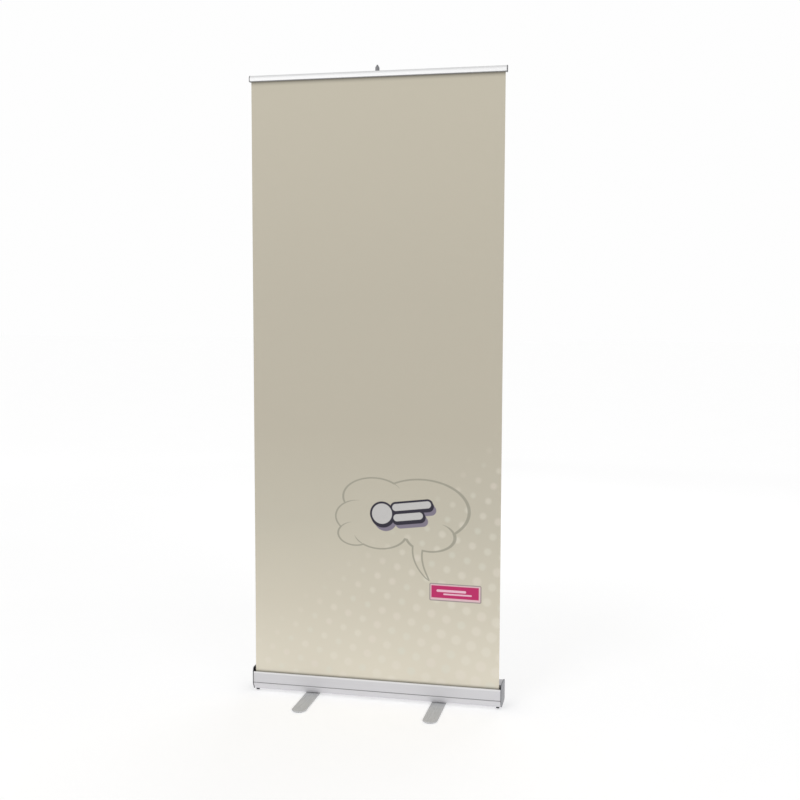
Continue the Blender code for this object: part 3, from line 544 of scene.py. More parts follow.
# ---------------------------------------------------------------- the print
def banner_print(look):
    """Printed banner film: a warm grey ground that pales downwards, partly print and partly painted light of
    the floor's bounce, pastel halftone dots, an outlined speech cloud with a plain badge in it and a blank
    label, with painted shadow where the film enters the rail and the cassette. It is all laid out on the
    sheet's own map.
    """
    g = Graph("banner_print_film")
    flat = g.node("ShaderNodeUVMap", {"uv_map": "print"})
    split = g.node("ShaderNodeSeparateXYZ", None, {0: flat}).socket.node
    across = Wire(g, split.outputs["X"])
    up = Wire(g, split.outputs["Y"])
    x = (across - 0.5) * BANNER_WIDTH
    h = up * BANNER_LENGTH - (LIP_Z - BANNER_LO.z)

    # The ground's ramp pales towards the cassette: partly print, partly painted light of the floor's bounce.
    ground = g.ramp(h / 2.02, look.ground_stops())
    colour = halftone(g, x, h, ground, look)
    colour = cloud_line(g, x, h, colour, look)
    colour = badge(g, x, h, colour, look)
    colour = label(g, x, h, colour, look)
    # Painted shadow: the film darkens towards the edge shade just under the rail and just above the
    # cassette's lip.
    rail_shadow = ((h - look.rail_shade) / 0.015).math("MULTIPLY", 1.0, clamp=True)
    lip_shadow = ((0.011 - h) / 0.011).math("MULTIPLY", 1.0, clamp=True)
    colour = g.mix((rail_shadow * rail_shadow).most(lip_shadow * lip_shadow) * 0.63, colour, look.shade_colour)

    scrim = g.noise(g.node("ShaderNodeMapping", None, {"Vector": flat, "Scale": (850, 2020, 1)}), 1.3, 2.0)
    ink = g.noise(g.node("ShaderNodeMapping", None, {"Vector": flat, "Scale": (6, 14, 1)}), 1.0, 4.0)
    colour = g.mix(scrim * 0.04, colour, (1.0, 1.0, 1.0))
    rough = ink * 0.10 + scrim * 0.06 + 0.44
    return g.finish(colour, rough, 0.0, scrim, 0.10, 0.00006, Specular_IOR_Level=0.25)


def distance(x, h, centre, radii):
    """Distance to an ellipse's edge, negative inside, measured along its shorter radius."""
    a = (x - centre[0]) / radii[0]
    b = (h - centre[1]) / radii[1]
    return ((a * a + b * b).root() - 1.0) * min(radii)


def rounded_bar(x, h, centre, half, radius):
    """Distance to a bar with rounded corners, negative inside."""
    a = ((x - centre[0]).size() - (half[0] - radius)).most(0.0)
    b = ((h - centre[1]).size() - (half[1] - radius)).most(0.0)
    return (a * a + b * b).root() - radius


def halftone(g, x, h, ground, look):
    """Dots on a turned square grid that grow towards the lower right, each with its own pastel tone."""
    cos, sin = math.cos(look.dot_turn), math.sin(look.dot_turn)
    reach = ((x * 0.843 - h + look.dot_start) / look.dot_spread).math("MULTIPLY", 1.0, clamp=True)
    a = (x * cos + h * sin) / look.dot_pitch + 40.5
    b = (h * cos - x * sin) / look.dot_pitch + 40.04
    cell = g.node("ShaderNodeCombineXYZ", None, {0: a.math("FLOOR"), 1: b.math("FLOOR")})
    chance = g.node("ShaderNodeTexWhiteNoise", {"noise_dimensions": "3D"}, {"Vector": cell})
    da = a.math("FRACT") - 0.5
    db = b.math("FRACT") - 0.5
    radius = reach * 0.19 + chance * 0.05 + 0.12
    mask = (da * da + db * db).root().below(radius, 0.16) * (reach * 5.0).least(1.0)
    pastel = g.ramp(chance, ((0.0, look.dot_green), (0.4, look.dot_cream), (0.7, look.dot_rose),
                             (1.0, look.dot_cream)))
    return g.mix(mask * look.dot_strength, ground, pastel)


CLOUD_LOBES = (
    ((0.155, 0.590), (0.165, 0.104)),
    ((-0.005, 0.628), (0.105, 0.066)),
    ((-0.060, 0.560), (0.076, 0.056)),
    ((-0.068, 0.502), (0.060, 0.040)),
    ((0.018, 0.512), (0.092, 0.058)),
    ((0.190, 0.502), (0.083, 0.050)),
)


CLOUD_STROKES = (
    (1, (0.045, 0.664), 0.045),
    (2, (-0.098, 0.604), 0.050),
    (3, (-0.108, 0.522), 0.036),
    (4, (-0.062, 0.470), 0.030),
    (5, (0.258, 0.522), 0.040),
)


def cloud_line(g, x, h, colour, look):
    """Line round a speech cloud: the edge of the union of its lobes and of its curved tail, with short
    strokes that carry a lobe's curve a little way in and taper off.
    """
    lobes = [distance(x, h, centre, radii) for centre, radii in CLOUD_LOBES]
    edge = lobes[0]
    for lobe in lobes[1:]:
        edge = edge.least(lobe)
    rise = (h - 0.356) / 0.120
    bend = 0.184 - rise * 0.100 + rise * rise * 0.066
    tail = ((x - bend).size() - rise.root() * 0.0185).most(0.356 - h).most(h - 0.480)
    edge = edge.least(tail)
    width = (x + 0.14) * look.line_swell + look.line_width / 2
    line = edge.size().below(width, 0.0014)
    for index, place, reach in CLOUD_STROKES:
        away = distance(x, h, place, (reach, reach)) / reach
        line = line.most(lobes[index].size().below(away * width * -0.9, 0.0012) * away.below(-0.1, 0.1))
    return g.mix(line * look.line_strength, colour, look.line_colour)


def badge(g, x, h, colour, look):
    """Plain badge in the cloud: a disc and two bars with an outline and a drop shadow, tilted a little."""
    cos, sin = math.cos(look.badge_tilt), math.sin(look.badge_tilt)
    centre = (0.092, 0.582)
    dx, dh = x - centre[0], h - centre[1]
    a = dx * cos + dh * sin
    b = dh * cos - dx * sin

    def shape(shift_a, shift_b):
        disc = distance(a, b, (-0.068 + shift_a, shift_b), (0.036, 0.036))
        top = rounded_bar(a, b, (0.036 + shift_a, 0.017 + shift_b), (0.068, 0.0135), 0.0135)
        low = rounded_bar(a, b, (0.020 + shift_a, -0.018 + shift_b), (0.052, 0.0135), 0.0135)
        return disc.least(top).least(low)

    shadow = shape(0.010, -0.020).least(shape(0.006, -0.012))
    outline = shape(0.0, 0.0).least(shape(0.002, -0.006))
    colour = g.mix(shadow.below(0.004, 0.002), colour, look.badge_shadow)
    colour = g.mix(outline.below(0.0055, 0.002), colour, look.badge_outline)
    return g.mix(shape(0.0, 0.0).below(-0.0015, 0.002), colour, look.badge_fill)


def label(g, x, h, colour, look):
    """Blank magenta label with a pale rim, a thin grey edge and two plain strokes."""
    slope = h + (x - 0.2755) * 0.010
    outer = rounded_bar(x, slope, (0.2755, 0.3165), (0.0865, 0.0285), 0.004)
    colour = g.mix(outer.below(0.0012, 0.002), colour, look.label_edge)
    colour = g.mix(outer.below(-0.0022, 0.002), colour, look.label_rim)
    inner = rounded_bar(x, slope, (0.2745, 0.3180), (0.0800, 0.0208), 0.001)
    colour = g.mix(inner.below(0.0, 0.002), colour, look.label_colour)
    for centre, half in (((0.262, 0.3215), (0.050, 0.0040)), ((0.283, 0.3105), (0.048, 0.0026))):
        stroke = rounded_bar(x, slope, centre, (half, half)[0], min(half) * 0.98)
        colour = g.mix(stroke.below(0.0, 0.002) * 0.85, colour, look.label_stroke)
    return colour


# ---------------------------------------------------------------- settings
def colour_property(name, description, default):
    """Colour of one finish."""
    return bpy.props.FloatVectorProperty(name=name, description=description, size=3, subtype="COLOR",
                                         min=0.0, max=1.0, default=default)


def length_property(name, description, default):
    """Length of one detail."""
    return bpy.props.FloatProperty(name=name, description=description, default=default, subtype="DISTANCE",
                                   unit="LENGTH", min=0.0)


class BannerStandFinish(bpy.types.PropertyGroup):
    """Colours of the stand's materials."""

    aluminium: colour_property("Aluminium", "Satin anodised cassette", tint(217, 216, 219))
    rail: colour_property("Rail", "Pale anodised clamp rail", tint(246, 246, 247))
    rail_cap: colour_property("Rail cap", "Dark ends of the clamp rail", tint(104, 104, 107))
    head: colour_property("Head", "Grey moulded head of the pole", tint(140, 140, 143))
    tube: colour_property("Tube", "Pole and roller tubes", tint(196, 197, 200))
    cap: colour_property("End cap", "Silver-grey moulded caps", tint(146, 147, 151))
    foot: colour_property("Foot", "Coated foot bars", tint(211, 212, 213))
    steel: colour_property("Steel", "Plated fasteners and axles", tint(190, 190, 192))
    axle: colour_property("Axle", "Dark steel of the roller's axle", tint(70, 68, 70))
    plastic: colour_property("Dark plastic", "Pole head, socket and plugs", tint(42, 42, 45))
    rubber: colour_property("Rubber", "Pads and bumpers", tint(34, 34, 35))
    film: colour_property("Film", "Back of the banner and leader", tint(216, 215, 211))
    cord: colour_property("Cord", "Bungee cord in the pole", tint(40, 40, 42))


class BannerStandPrint(bpy.types.PropertyGroup):
    """Colours and sizes of the banner's print, and of the painted shadow where the film enters rail and
    cassette.
    """

    ground_top: colour_property("Ground, top", "Print ground at the rail", tint(195, 188, 170))
    ground_middle: colour_property("Ground, middle", "Print ground halfway down", tint(189, 182, 165))
    ground_turn: colour_property("Ground, turn", "Print ground behind the cloud", tint(196, 190, 173))
    # The lighter low stops of the ground are partly print and partly painted light of the floor's bounce.
    ground_rise: colour_property("Ground, rise", "Print ground behind the label", tint(212, 205, 187))
    ground_low: colour_property("Ground, low", "Print ground near the cassette", tint(229, 222, 204))
    dot_green: colour_property("Green dots", "Pale green halftone dots", tint(222, 226, 213))
    dot_cream: colour_property("Cream dots", "Cream halftone dots", tint(240, 235, 222))
    dot_rose: colour_property("Rose dots", "Pale rose halftone dots", tint(238, 227, 217))
    line_colour: colour_property("Cloud line", "Line round the speech cloud", tint(152, 149, 134))
    badge_fill: colour_property("Badge", "Fill of the badge", tint(196, 194, 192))
    badge_outline: colour_property("Badge outline", "Outline of the badge", tint(26, 18, 40))
    badge_shadow: colour_property("Badge shadow", "Drop shadow of the badge", tint(126, 118, 134))
    label_colour: colour_property("Label", "Ground of the label", tint(190, 20, 98))
    label_rim: colour_property("Label rim", "Pale rim of the label", tint(226, 190, 198))
    label_edge: colour_property("Label edge", "Thin edge of the label", tint(152, 140, 138))
    label_stroke: colour_property("Label strokes", "Plain strokes on the label", tint(244, 206, 222))
    # Painted shadow: the colour the film is darkened to under the rail and above the lip.
    shade_colour: colour_property("Edge shade", "Tone where the film enters rail and cassette",
                                  tint(70, 66, 58))
    rail_shade: length_property("Rail shade", "Height above the lip where the rail's shade starts", 1.993)
    dot_pitch: length_property("Dot pitch", "Distance between dots in a row", 0.0535)
    dot_start: length_property("Dot start", "Height at which dots start", 0.52)
    dot_spread: length_property("Dot spread", "Distance over which dots grow", 0.84)
    line_width: length_property("Line width", "Width of the cloud's line", 0.0042)
    dot_strength: bpy.props.FloatProperty(name="Dot strength", description="How strongly dots show",
                                          default=0.27, subtype="FACTOR", min=0.0, max=1.0)
    line_strength: bpy.props.FloatProperty(name="Line strength", description="How strongly the line shows",
                                           default=0.8, subtype="FACTOR", min=0.0, max=1.0)
    line_swell: bpy.props.FloatProperty(name="Line swell", default=0.0028,
                                        description="How much the line thickens to the right")
    dot_turn: bpy.props.FloatProperty(name="Dot turn", description="Turn of the dots' grid", subtype="ANGLE",
                                      unit="ROTATION", default=math.radians(-18.7))
    badge_tilt: bpy.props.FloatProperty(name="Badge tilt", description="Turn of the badge", subtype="ANGLE",
                                        unit="ROTATION", default=math.radians(7))

    def ground_stops(self):
        """Stops of the ground's ramp, from the cassette up to the rail."""
        return ((0.0, self.ground_low), (0.13, self.ground_rise), (0.27, self.ground_turn),
                (0.42, self.ground_middle), (0.64, self.ground_middle), (1.0, self.ground_top))


class BannerStandShape(bpy.types.PropertyGroup):
    """Sizes of the fine details."""

    edge_curl: length_property("Edge curl", "How far the banner's sides curl back", 0.0016)
    curl_width: length_property("Curl width", "Width of the curled strip", 0.030)
    cap_edge: length_property("Cap edge", "Rounding of the end caps", 0.0009)
    foot_edge: length_property("Foot edge", "Rounding of the foot bars", 0.0007)
    groove_edge: length_property("Groove edge", "Rounding of the front groove", 0.00035)


class BannerStandSettings(bpy.types.PropertyGroup):
    """All settings of the stand."""

    finish: bpy.props.PointerProperty(type=BannerStandFinish)
    printed: bpy.props.PointerProperty(type=BannerStandPrint)
    shape: bpy.props.PointerProperty(type=BannerStandShape)


def settings():
    """The scene's settings."""
    return bpy.context.scene.banner_stand


def finish_material(key):
    """One of the stand's shared materials, made when it is first asked for."""
    makers = {
        # Shell bands: painted shade in the front groove, painted shade along the cover's front edge in the
        # mouth, and a painted highlight on the lip's rounded top.
        "shell": lambda c: extruded_metal("satin_shell", c.aluminium, 0.66, 0.05,
                                          [("Z", GROOVE_Z, 0.0013, 0.0002, 0.6),
                                           ("Y", SHELL_LO.y + 0.0165, 0.003, 0.0002, 0.9),
                                           ("Z", LIP_Z, 0.0045, 0.005, -0.6)]),
        # Rail band: painted shade along the rail's lower edge, above the banner.
        "rail": lambda c: extruded_metal("satin_rail", c.rail, 0.5, 0.2,
                                         [("Z", RAIL_LO.z - 0.001, 0.0031, 0.0002, 0.8)]),
        "tube": lambda c: tube_metal("drawn_tube", c.tube),
        # The cap's inner face is made near black, painted shade of the cassette's inside.
        "cap": lambda c: moulded("silver_cap", c.cap, 0.44, 1300, 0.15, 1.18, CAP_LO.x + CAP_SHADE_EDGE),
        "rail_cap": lambda c: moulded("dark_rail_cap", c.rail_cap, 0.44, 1300, 0.15),
        "head": lambda c: moulded("grey_head", c.head, 0.38, 1500, 0.2, 1.3),
        "foot": lambda c: painted_foot("coated_foot", c.foot),
        "steel": lambda c: plated("zinc_plate", c.steel),
        "axle": lambda c: plated("dark_steel", c.axle, 0.4),
        "plastic": lambda c: moulded("black_moulding", c.plastic, 0.46, 1500, 0.0, 1.6),
        "rubber": lambda c: black_rubber("rubber", c.rubber),
        "film": lambda c: film("blockout_film", c.film),
        "cord": lambda c: braided("bungee_braid", c.cord),
    }
    tag = "finish_" + key
    for material in bpy.data.materials:
        if material.get("finish") == tag:
            return material
    material = makers[key](settings().finish)
    material["finish"] = tag
    return material


# ---------------------------------------------------------------- cassette
SHELL_WALL = 0.0016
TOE_TOP_Z = 0.0277
TOE_SLANT = 0.012
LIP_DEPTH = 0.0055
GROOVE_Z = 0.0325
GROOVE_DEPTH = 0.0014
MOUTH_BACK = 0.016
MOUTH_FALL = 0.002
MOUTH_RETURN = 0.006
COVER_FALL = 0.004
CROWN_ROUND = 0.080
TOE_ROUND = 0.004
CAP_TOP = 0.086
CAP_THICKNESS = 0.0033
BOSS_RADIUS = 0.009
BOSS_REACH = 0.0068
SINK_RADIUS = 0.0035
SINK_BORE = 0.0018
PIVOT_HOLE = 0.0033
POLE_HOLE_GAP = 0.0003
CROWN_Y = SHELL_LO.y + 0.45 * (SHELL_HI.y - SHELL_LO.y)
SOCKET_RADIUS = 0.0084
FLANGE_RADIUS = 0.0108
FLANGE_THICKNESS = 0.0014
SCREW_HEAD = 0.0032
SCREW_SHANK = 0.0015
SCREW_LENGTH = 0.016
AXLE_BORE = {-1: 0.0043, 1: 0.0033}
# Reach inwards past which the end cap is made near black, painted shade of the cassette's inside.
CAP_SHADE_EDGE = 0.0042


def shell_outline(groove_edge):
    """Outline of the cassette's wall: outer face from the lip down, under the floor and over the cover,
    then back along the inner face, which is plain behind the groove.
    """
    front, back, under, top = SHELL_LO.y, SHELL_HI.y, SHELL_LO.z, SHELL_HI.z
    lip_back = front + LIP_DEPTH
    half = GROOVE_DEPTH * 0.86
    upper, lower = GROOVE_Z + half, GROOVE_Z - half
    mouth = front + MOUTH_BACK
    lip = [
        (lip_back, LIP_Z - LIP_DEPTH, 0),
        (lip_back, LIP_Z, LIP_DEPTH * 0.4),
        (front, LIP_Z, LIP_DEPTH * 0.5),
    ]
    groove = [
        (front, upper, groove_edge),
        (front + GROOVE_DEPTH, GROOVE_Z + half / 2, groove_edge),
        (front + GROOVE_DEPTH, GROOVE_Z - half / 2, groove_edge),
        (front, lower, groove_edge),
    ]
    around = [
        (front, TOE_TOP_Z, TOE_ROUND),
        (front + TOE_SLANT, under, 0.002),
        (back, under, 0.011),
        (back, top - COVER_FALL, 0.007),
        (CROWN_Y, top, CROWN_ROUND),
        (mouth, top - MOUTH_FALL, 0.002),
        (mouth, top - MOUTH_FALL - MOUTH_RETURN, 0),
    ]
    outer = rounded(lip + groove + around)
    plain = rounded(lip + around)
    inner = parallel(plain, SHELL_WALL, closed=False)
    return np.concatenate((outer, inner[::-1]))


def round_bar(radius, low, high, around=48):
    """Plain round cutter along Z."""
    return loft(turned([(radius, low), (radius, high)], around))


def port_places():
    """(y, z) of the two screw ports: in the slanted toe and in the cover's back corner."""
    found = []
    for index in (1, 2):
        low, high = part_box(f"cap_screw_right_{index}")
        found.append(((low.y + high.y) / 2, (low.z + high.z) / 2))
    return found


def cap_outline():
    """Outline of an end cap: the shell's outer face, a little proud, with a raised front and top."""
    front, back, under = CAP_LO.y, CAP_HI.y, CAP_LO.z
    return rounded([
        (front, LIP_Z + 0.0006, 0.006),
        (front, TOE_TOP_Z, TOE_ROUND),
        (front + TOE_SLANT, under, 0.0026),
        (back, under, 0.0116),
        (back, CAP_TOP - 0.005, 0.009),
        (CROWN_Y, CAP_TOP, CROWN_ROUND),
        (front + 0.0045, CAP_TOP - 0.001, 0.006),
    ], closed=True)


def x_rings(loops):
    """Rings of (y, z) loops at their x places."""
    return np.stack([np.column_stack((np.full(len(loop), x), loop)) for loop, x in loops])


def screw_mesh(side, place):
    """Countersunk screw whose head is flush with the end cap, with a cross recess and a run of thread."""
    along = np.linspace(-0.0022, -SCREW_LENGTH + 0.002, 70)
    thread = SCREW_SHANK - 0.00022 * (0.5 + 0.5 * np.cos(along * 2 * math.pi / 0.0009))
    profile = [(ON_AXIS, -SCREW_LENGTH), (0.0006, -SCREW_LENGTH + 0.0004)]
    profile += [(radius, height) for radius, height in zip(thread[::-1], along[::-1])]
    profile += [(SCREW_SHANK, -0.0018), (SCREW_HEAD - 0.0001, -0.0004), (SCREW_HEAD, -0.0003),
                (SCREW_HEAD - 0.0001, -0.00005), (SCREW_HEAD - 0.0004, 0.0)]
    head = new_mesh("screw", *loft(turned(profile, 40)))
    slots = []
    for turn in (0, math.pi / 2):
        blade = rounded([(-0.0017, -0.0004, 0.0002), (0.0017, -0.0004, 0.0002), (0.0017, 0.0004, 0.0002),
                         (-0.0017, 0.0004, 0.0002)], closed=True)
        rings = np.stack([np.column_stack((blade * scale, np.full(len(blade), z)))
                          for scale, z in ((0.45, -0.0014), (1.0, -0.0002), (1.0, 0.001))])
        slots.append(moved(loft(rings), Matrix.Rotation(turn, 4, "Z")))
    head = carve(head, slots)
    head.transform(Matrix.Translation((side * (CAP_HI.x - 0.0002), *place)) @ along_x(side))
    return head


class BANNERSTAND_OT_cassette(bpy.types.Operator):
    """Build the cassette: shell, end caps, screws, bumpers and the pole's socket"""

    bl_idname = "bannerstand.cassette"
    bl_label = "Cassette"

    def execute(self, context):
        shape = settings().shape
        half = SHELL_HI.x
        points, faces = prism(shell_outline(shape.groove_edge), -half, half)
        cuts = [moved(round_bar(SOCKET_RADIUS + POLE_HOLE_GAP, 0.045, 0.100, 64), pole_matrix())]
        for side, _ in SIDES:
            cuts.append(moved(round_bar(PIVOT_HOLE, -0.01, 0.01),
                              Matrix.Translation((side * FOOT_X, 0, SHELL_LO.z))))
        shell = carve(new_mesh("shell", points, faces), cuts)
        add_piece("shell", shell, finish_material("shell"), "base",
                  ["cassette_shell"])
        for side, label in SIDES:
            self.end(side, label, shape)
        self.socket()
        return {"FINISHED"}

    def end(self, side, label, shape):
        """End cap with its boss, holes and screws, and the bumper beside it."""
        loops = cushion(cap_outline(), CAP_HI.x - CAP_THICKNESS, CAP_HI.x, shape.cap_edge)
        plate = loft(x_rings([(loop, side * x) for loop, x in loops]))
        boss = moved(round_bar(BOSS_RADIUS, CAP_HI.x - BOSS_REACH, CAP_HI.x - 0.0020, 56),
                     Matrix.Translation((0, ROLLER_Y, ROLLER_Z)) @ along_x(side))
        cap = weld(new_mesh("cap", *plate), new_mesh("boss", *boss))
        cuts = [moved(round_bar(AXLE_BORE[side], CAP_HI.x - 0.02, CAP_HI.x + 0.02, 48),
                      Matrix.Translation((0, ROLLER_Y, ROLLER_Z)) @ along_x(side))]
        sink = [(SINK_BORE, -0.02), (SINK_BORE, -0.0018), (SINK_RADIUS, -0.0004), (SINK_RADIUS, 0.003)]
        for place in port_places():
            matrix = Matrix.Translation((side * CAP_HI.x, *place)) @ along_x(side)
            cuts.append(moved(loft(turned(sink, 48)), matrix))
        add_piece(f"cap_{label}", carve(cap, cuts), finish_material("cap"), "base",
                  [f"end_cap_{label}"])
        for index, place in enumerate(port_places(), 1):
            add_piece(f"screw_{label}_{index}", screw_mesh(side, place), finish_material("steel"), "base",
                      [f"cap_screw_{label}_{index}"])
        low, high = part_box(f"bumper_{label}")
        middle = (low + high) / 2
        width, depth = (high.x - low.x) / 2, (high.y - low.y) / 2
        plan = rounded([(-width, -depth, 0.002), (width, -depth, 0.002), (width, depth, 0.002),
                        (-width, depth, 0.002)], closed=True)
        rings = np.stack([np.column_stack((loop + (middle.x, middle.y), np.full(len(loop), z)))
                          for loop, z in cushion(plan, low.z, high.z, 0.0011)])
        add_piece(f"corner_bumper_{label}", new_mesh("bumper", *loft(rings)), finish_material("rubber"),
                  "base", [f"bumper_{label}"])

    def socket(self):
        """Cup that holds the pole, with a rounded flange on the cover."""
        flange = (SHELL_HI.z - POLE_FOOT[2]) / math.cos(POLE_LEAN) + 0.0003
        top = flange + FLANGE_THICKNESS
        bore = 0.0069
        profile = [(ON_AXIS, -0.0015), (SOCKET_RADIUS - 0.0006, -0.0015), (SOCKET_RADIUS, -0.0009),
                   (SOCKET_RADIUS, flange), (FLANGE_RADIUS - 0.0003, flange),
                   (FLANGE_RADIUS, flange + 0.0003),
                   (FLANGE_RADIUS, top - 0.0006), (FLANGE_RADIUS - 0.0002, top - 0.0002),
                   (FLANGE_RADIUS - 0.0006, top), (bore + 0.0007, top), (bore + 0.0002, top - 0.0002),
                   (bore, top - 0.0007), (bore, -0.0003), (ON_AXIS, -0.0003)]
        part = moved(loft(turned(profile, 72)), pole_matrix())
        add_piece("socket", new_mesh("socket", *part), finish_material("plastic"), "base",
                  ["pole_socket"])


def weld(first, second):
    """Union of two closed meshes."""
    body = bpy.data.objects.new("welded", first)
    other = bpy.data.objects.new("welded_on", second)
    for obj in (body, other):
        bpy.context.scene.collection.objects.link(obj)
    union = body.modifiers.new("union", "BOOLEAN")
    union.object = other
    union.operation = "UNION"
    union.solver = "EXACT"
    bpy.context.view_layer.update()
    graph = bpy.context.evaluated_depsgraph_get()
    result = bpy.data.meshes.new_from_object(body.evaluated_get(graph))
    for obj in (body, other):
        bpy.data.objects.remove(obj, do_unlink=True)
    return result


# ---------------------------------------------------------------- roller and leader
WRAP_RADIUS = 0.0133
FILM_THICKNESS = 0.00025


class BANNERSTAND_OT_roller(bpy.types.Operator):
    """Finish the roller and wind the leader film on it"""

    bl_idname = "bannerstand.roller"
    bl_label = "Roller and leader"

    def execute(self, context):
        dress(["roller_tube"], finish_material("tube"))
        dress(["roller_plug_left", "roller_plug_right", "spring_anchor"], finish_material("plastic"))
        dress(["torsion_spring", "spring_arbor"], finish_material("steel"))
        dress(["roller_axle"], finish_material("axle"))
        self.wrap()
        self.leader()
        return {"FINISHED"}

    def wrap(self):
        """Wound film: a spiral whose radius grows by one thickness in a turn, carried along X."""
        angles = np.linspace(0, 2 * math.pi * 1.5, 150)
        inner = WRAP_RADIUS + FILM_THICKNESS * 1.02 * angles / (2 * math.pi)
        outer = inner + FILM_THICKNESS * 0.8
        spiral = np.concatenate((np.stack((outer * np.cos(angles), outer * np.sin(angles)), 1),
                                 np.stack((inner * np.cos(angles), inner * np.sin(angles)), 1)[::-1]))
        spiral = spiral + (ROLLER_Y, ROLLER_Z)
        part = prism(spiral, BANNER_LO.x, BANNER_HI.x, edge=0.00002)
        piece = add_piece("wound_film", new_mesh("wound_film", *part), finish_material("film"), "roller",
                          ["leader_wrap"])

    def leader(self):
        """Film from the roller to the banner's lower edge: a strip on a line that touches the roller."""
        mouth = np.array((BANNER_Y, BANNER_LO.z - 0.0006))
        centre = np.array((ROLLER_Y, ROLLER_Z))
        radius = 0.0141
        to_mouth = mouth - centre
        reach = np.linalg.norm(to_mouth)
        turn = -math.acos(radius / reach)
        unit = to_mouth / reach
        normal = np.array((unit[0] * math.cos(turn) - unit[1] * math.sin(turn),
                           unit[0] * math.sin(turn) + unit[1] * math.cos(turn)))
        tangent = centre + normal * radius
        steps = np.linspace(0, 1, 12)[:, None]
        run = mouth + (tangent - mouth) * steps
        outline = np.concatenate((run, (run + normal * FILM_THICKNESS)[::-1]))
        part = prism(outline, BANNER_LO.x, BANNER_HI.x, edge=0.00002)
        piece = add_piece("leader_strip", new_mesh("leader_strip", *part), finish_material("film"), "base",
                          ["leader"])


# ---------------------------------------------------------------- banner
class BANNERSTAND_OT_banner(bpy.types.Operator):
    """Hang the printed banner between the cassette and the rail"""

    bl_idname = "bannerstand.banner"
    bl_label = "Banner"

    def execute(self, context):
        """The sheet is a grid of u across and v up. Its sides curl back by edge_curl times the square of how
        far into the curled strip a point is, fading out at both ends, with a slow ripple up the sheet.
        """
        shape = settings().shape
        columns, rows = 121, 241
        u = np.linspace(0, 1, columns)
        u = 0.5 + 0.5 * np.sign(u - 0.5) * (1 - (1 - np.abs(2 * u - 1)) ** 1.35)
        v = np.linspace(0, 1, rows)
        across, up = np.meshgrid(u, v)
        x = BANNER_LO.x + across * BANNER_WIDTH
        z = BANNER_LO.z + up * BANNER_LENGTH
        to_edge = np.minimum(x - BANNER_LO.x, BANNER_HI.x - x)
        strip = np.clip(1 - to_edge / shape.curl_width, 0, 1)
        held = np.clip((up - 0.03) / 0.12, 0, 1) * np.clip((0.76 - up) / 0.2, 0, 1)
        held = held * held * (3 - 2 * held)
        ripple = 0.75 + 0.25 * np.sin(z * 5.1 + np.sign(x) * 1.3)
        bow = 0.0005 * np.sin(math.pi * across) * np.sin(2 * math.pi * up)
        y = BANNER_Y + held * (shape.edge_curl * strip ** 2 * ripple + bow)
        half = (BANNER_HI.y - BANNER_LO.y) / 2
        front = np.stack((x, y - half, z), -1).reshape(-1, 3)
        rear = np.stack((x, y + half, z), -1).reshape(-1, 3)
        count = rows * columns
        front_faces = quads(rows, columns, round_columns=False)
        rear_faces = front_faces[:, ::-1] + count
        grid = np.arange(count).reshape(rows, columns)
        rim = np.concatenate((grid[0, :-1], grid[:-1, -1], grid[-1, :0:-1], grid[:0:-1, 0]))
        ahead = np.roll(rim, -1)
        rim_faces = np.stack((rim, rim + count, ahead + count, ahead), 1)
        points = np.concatenate((front, rear))
        mesh = new_mesh("banner_sheet", points, [front_faces, rear_faces, rim_faces])
        layer = mesh.uv_layers.new(name="print")
        place = np.concatenate([np.stack((across, up), -1).reshape(-1, 2)] * 2)
        corners = np.empty(len(mesh.loops), np.int32)
        mesh.loops.foreach_get("vertex_index", corners)
        layer.data.foreach_set("uv", place[corners].astype(np.float32).ravel())
        piece = add_piece("banner_sheet", mesh, banner_print(settings().printed), "base",
                          ["banner"])
        mesh.materials.append(finish_material("film"))
        kind = np.zeros(len(mesh.polygons), np.int32)
        kind[len(front_faces):] = 1
        mesh.polygons.foreach_set("material_index", kind)
        travel = max(abs(limit) for limit in joint_range("banner_pull"))
        keep = 1 - travel / BANNER_LENGTH
        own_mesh(piece)
        return {"FINISHED"}


def joint_range(name):
    """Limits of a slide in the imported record."""
    for joint in frame["joints"]:
        if joint["name"] == name:
            return joint["range_m"]
    raise ValueError(f"no joint is named {name}")


# ---------------------------------------------------------------- rail
RAIL_WALL = 0.0014
JAW_WALL = 0.0012


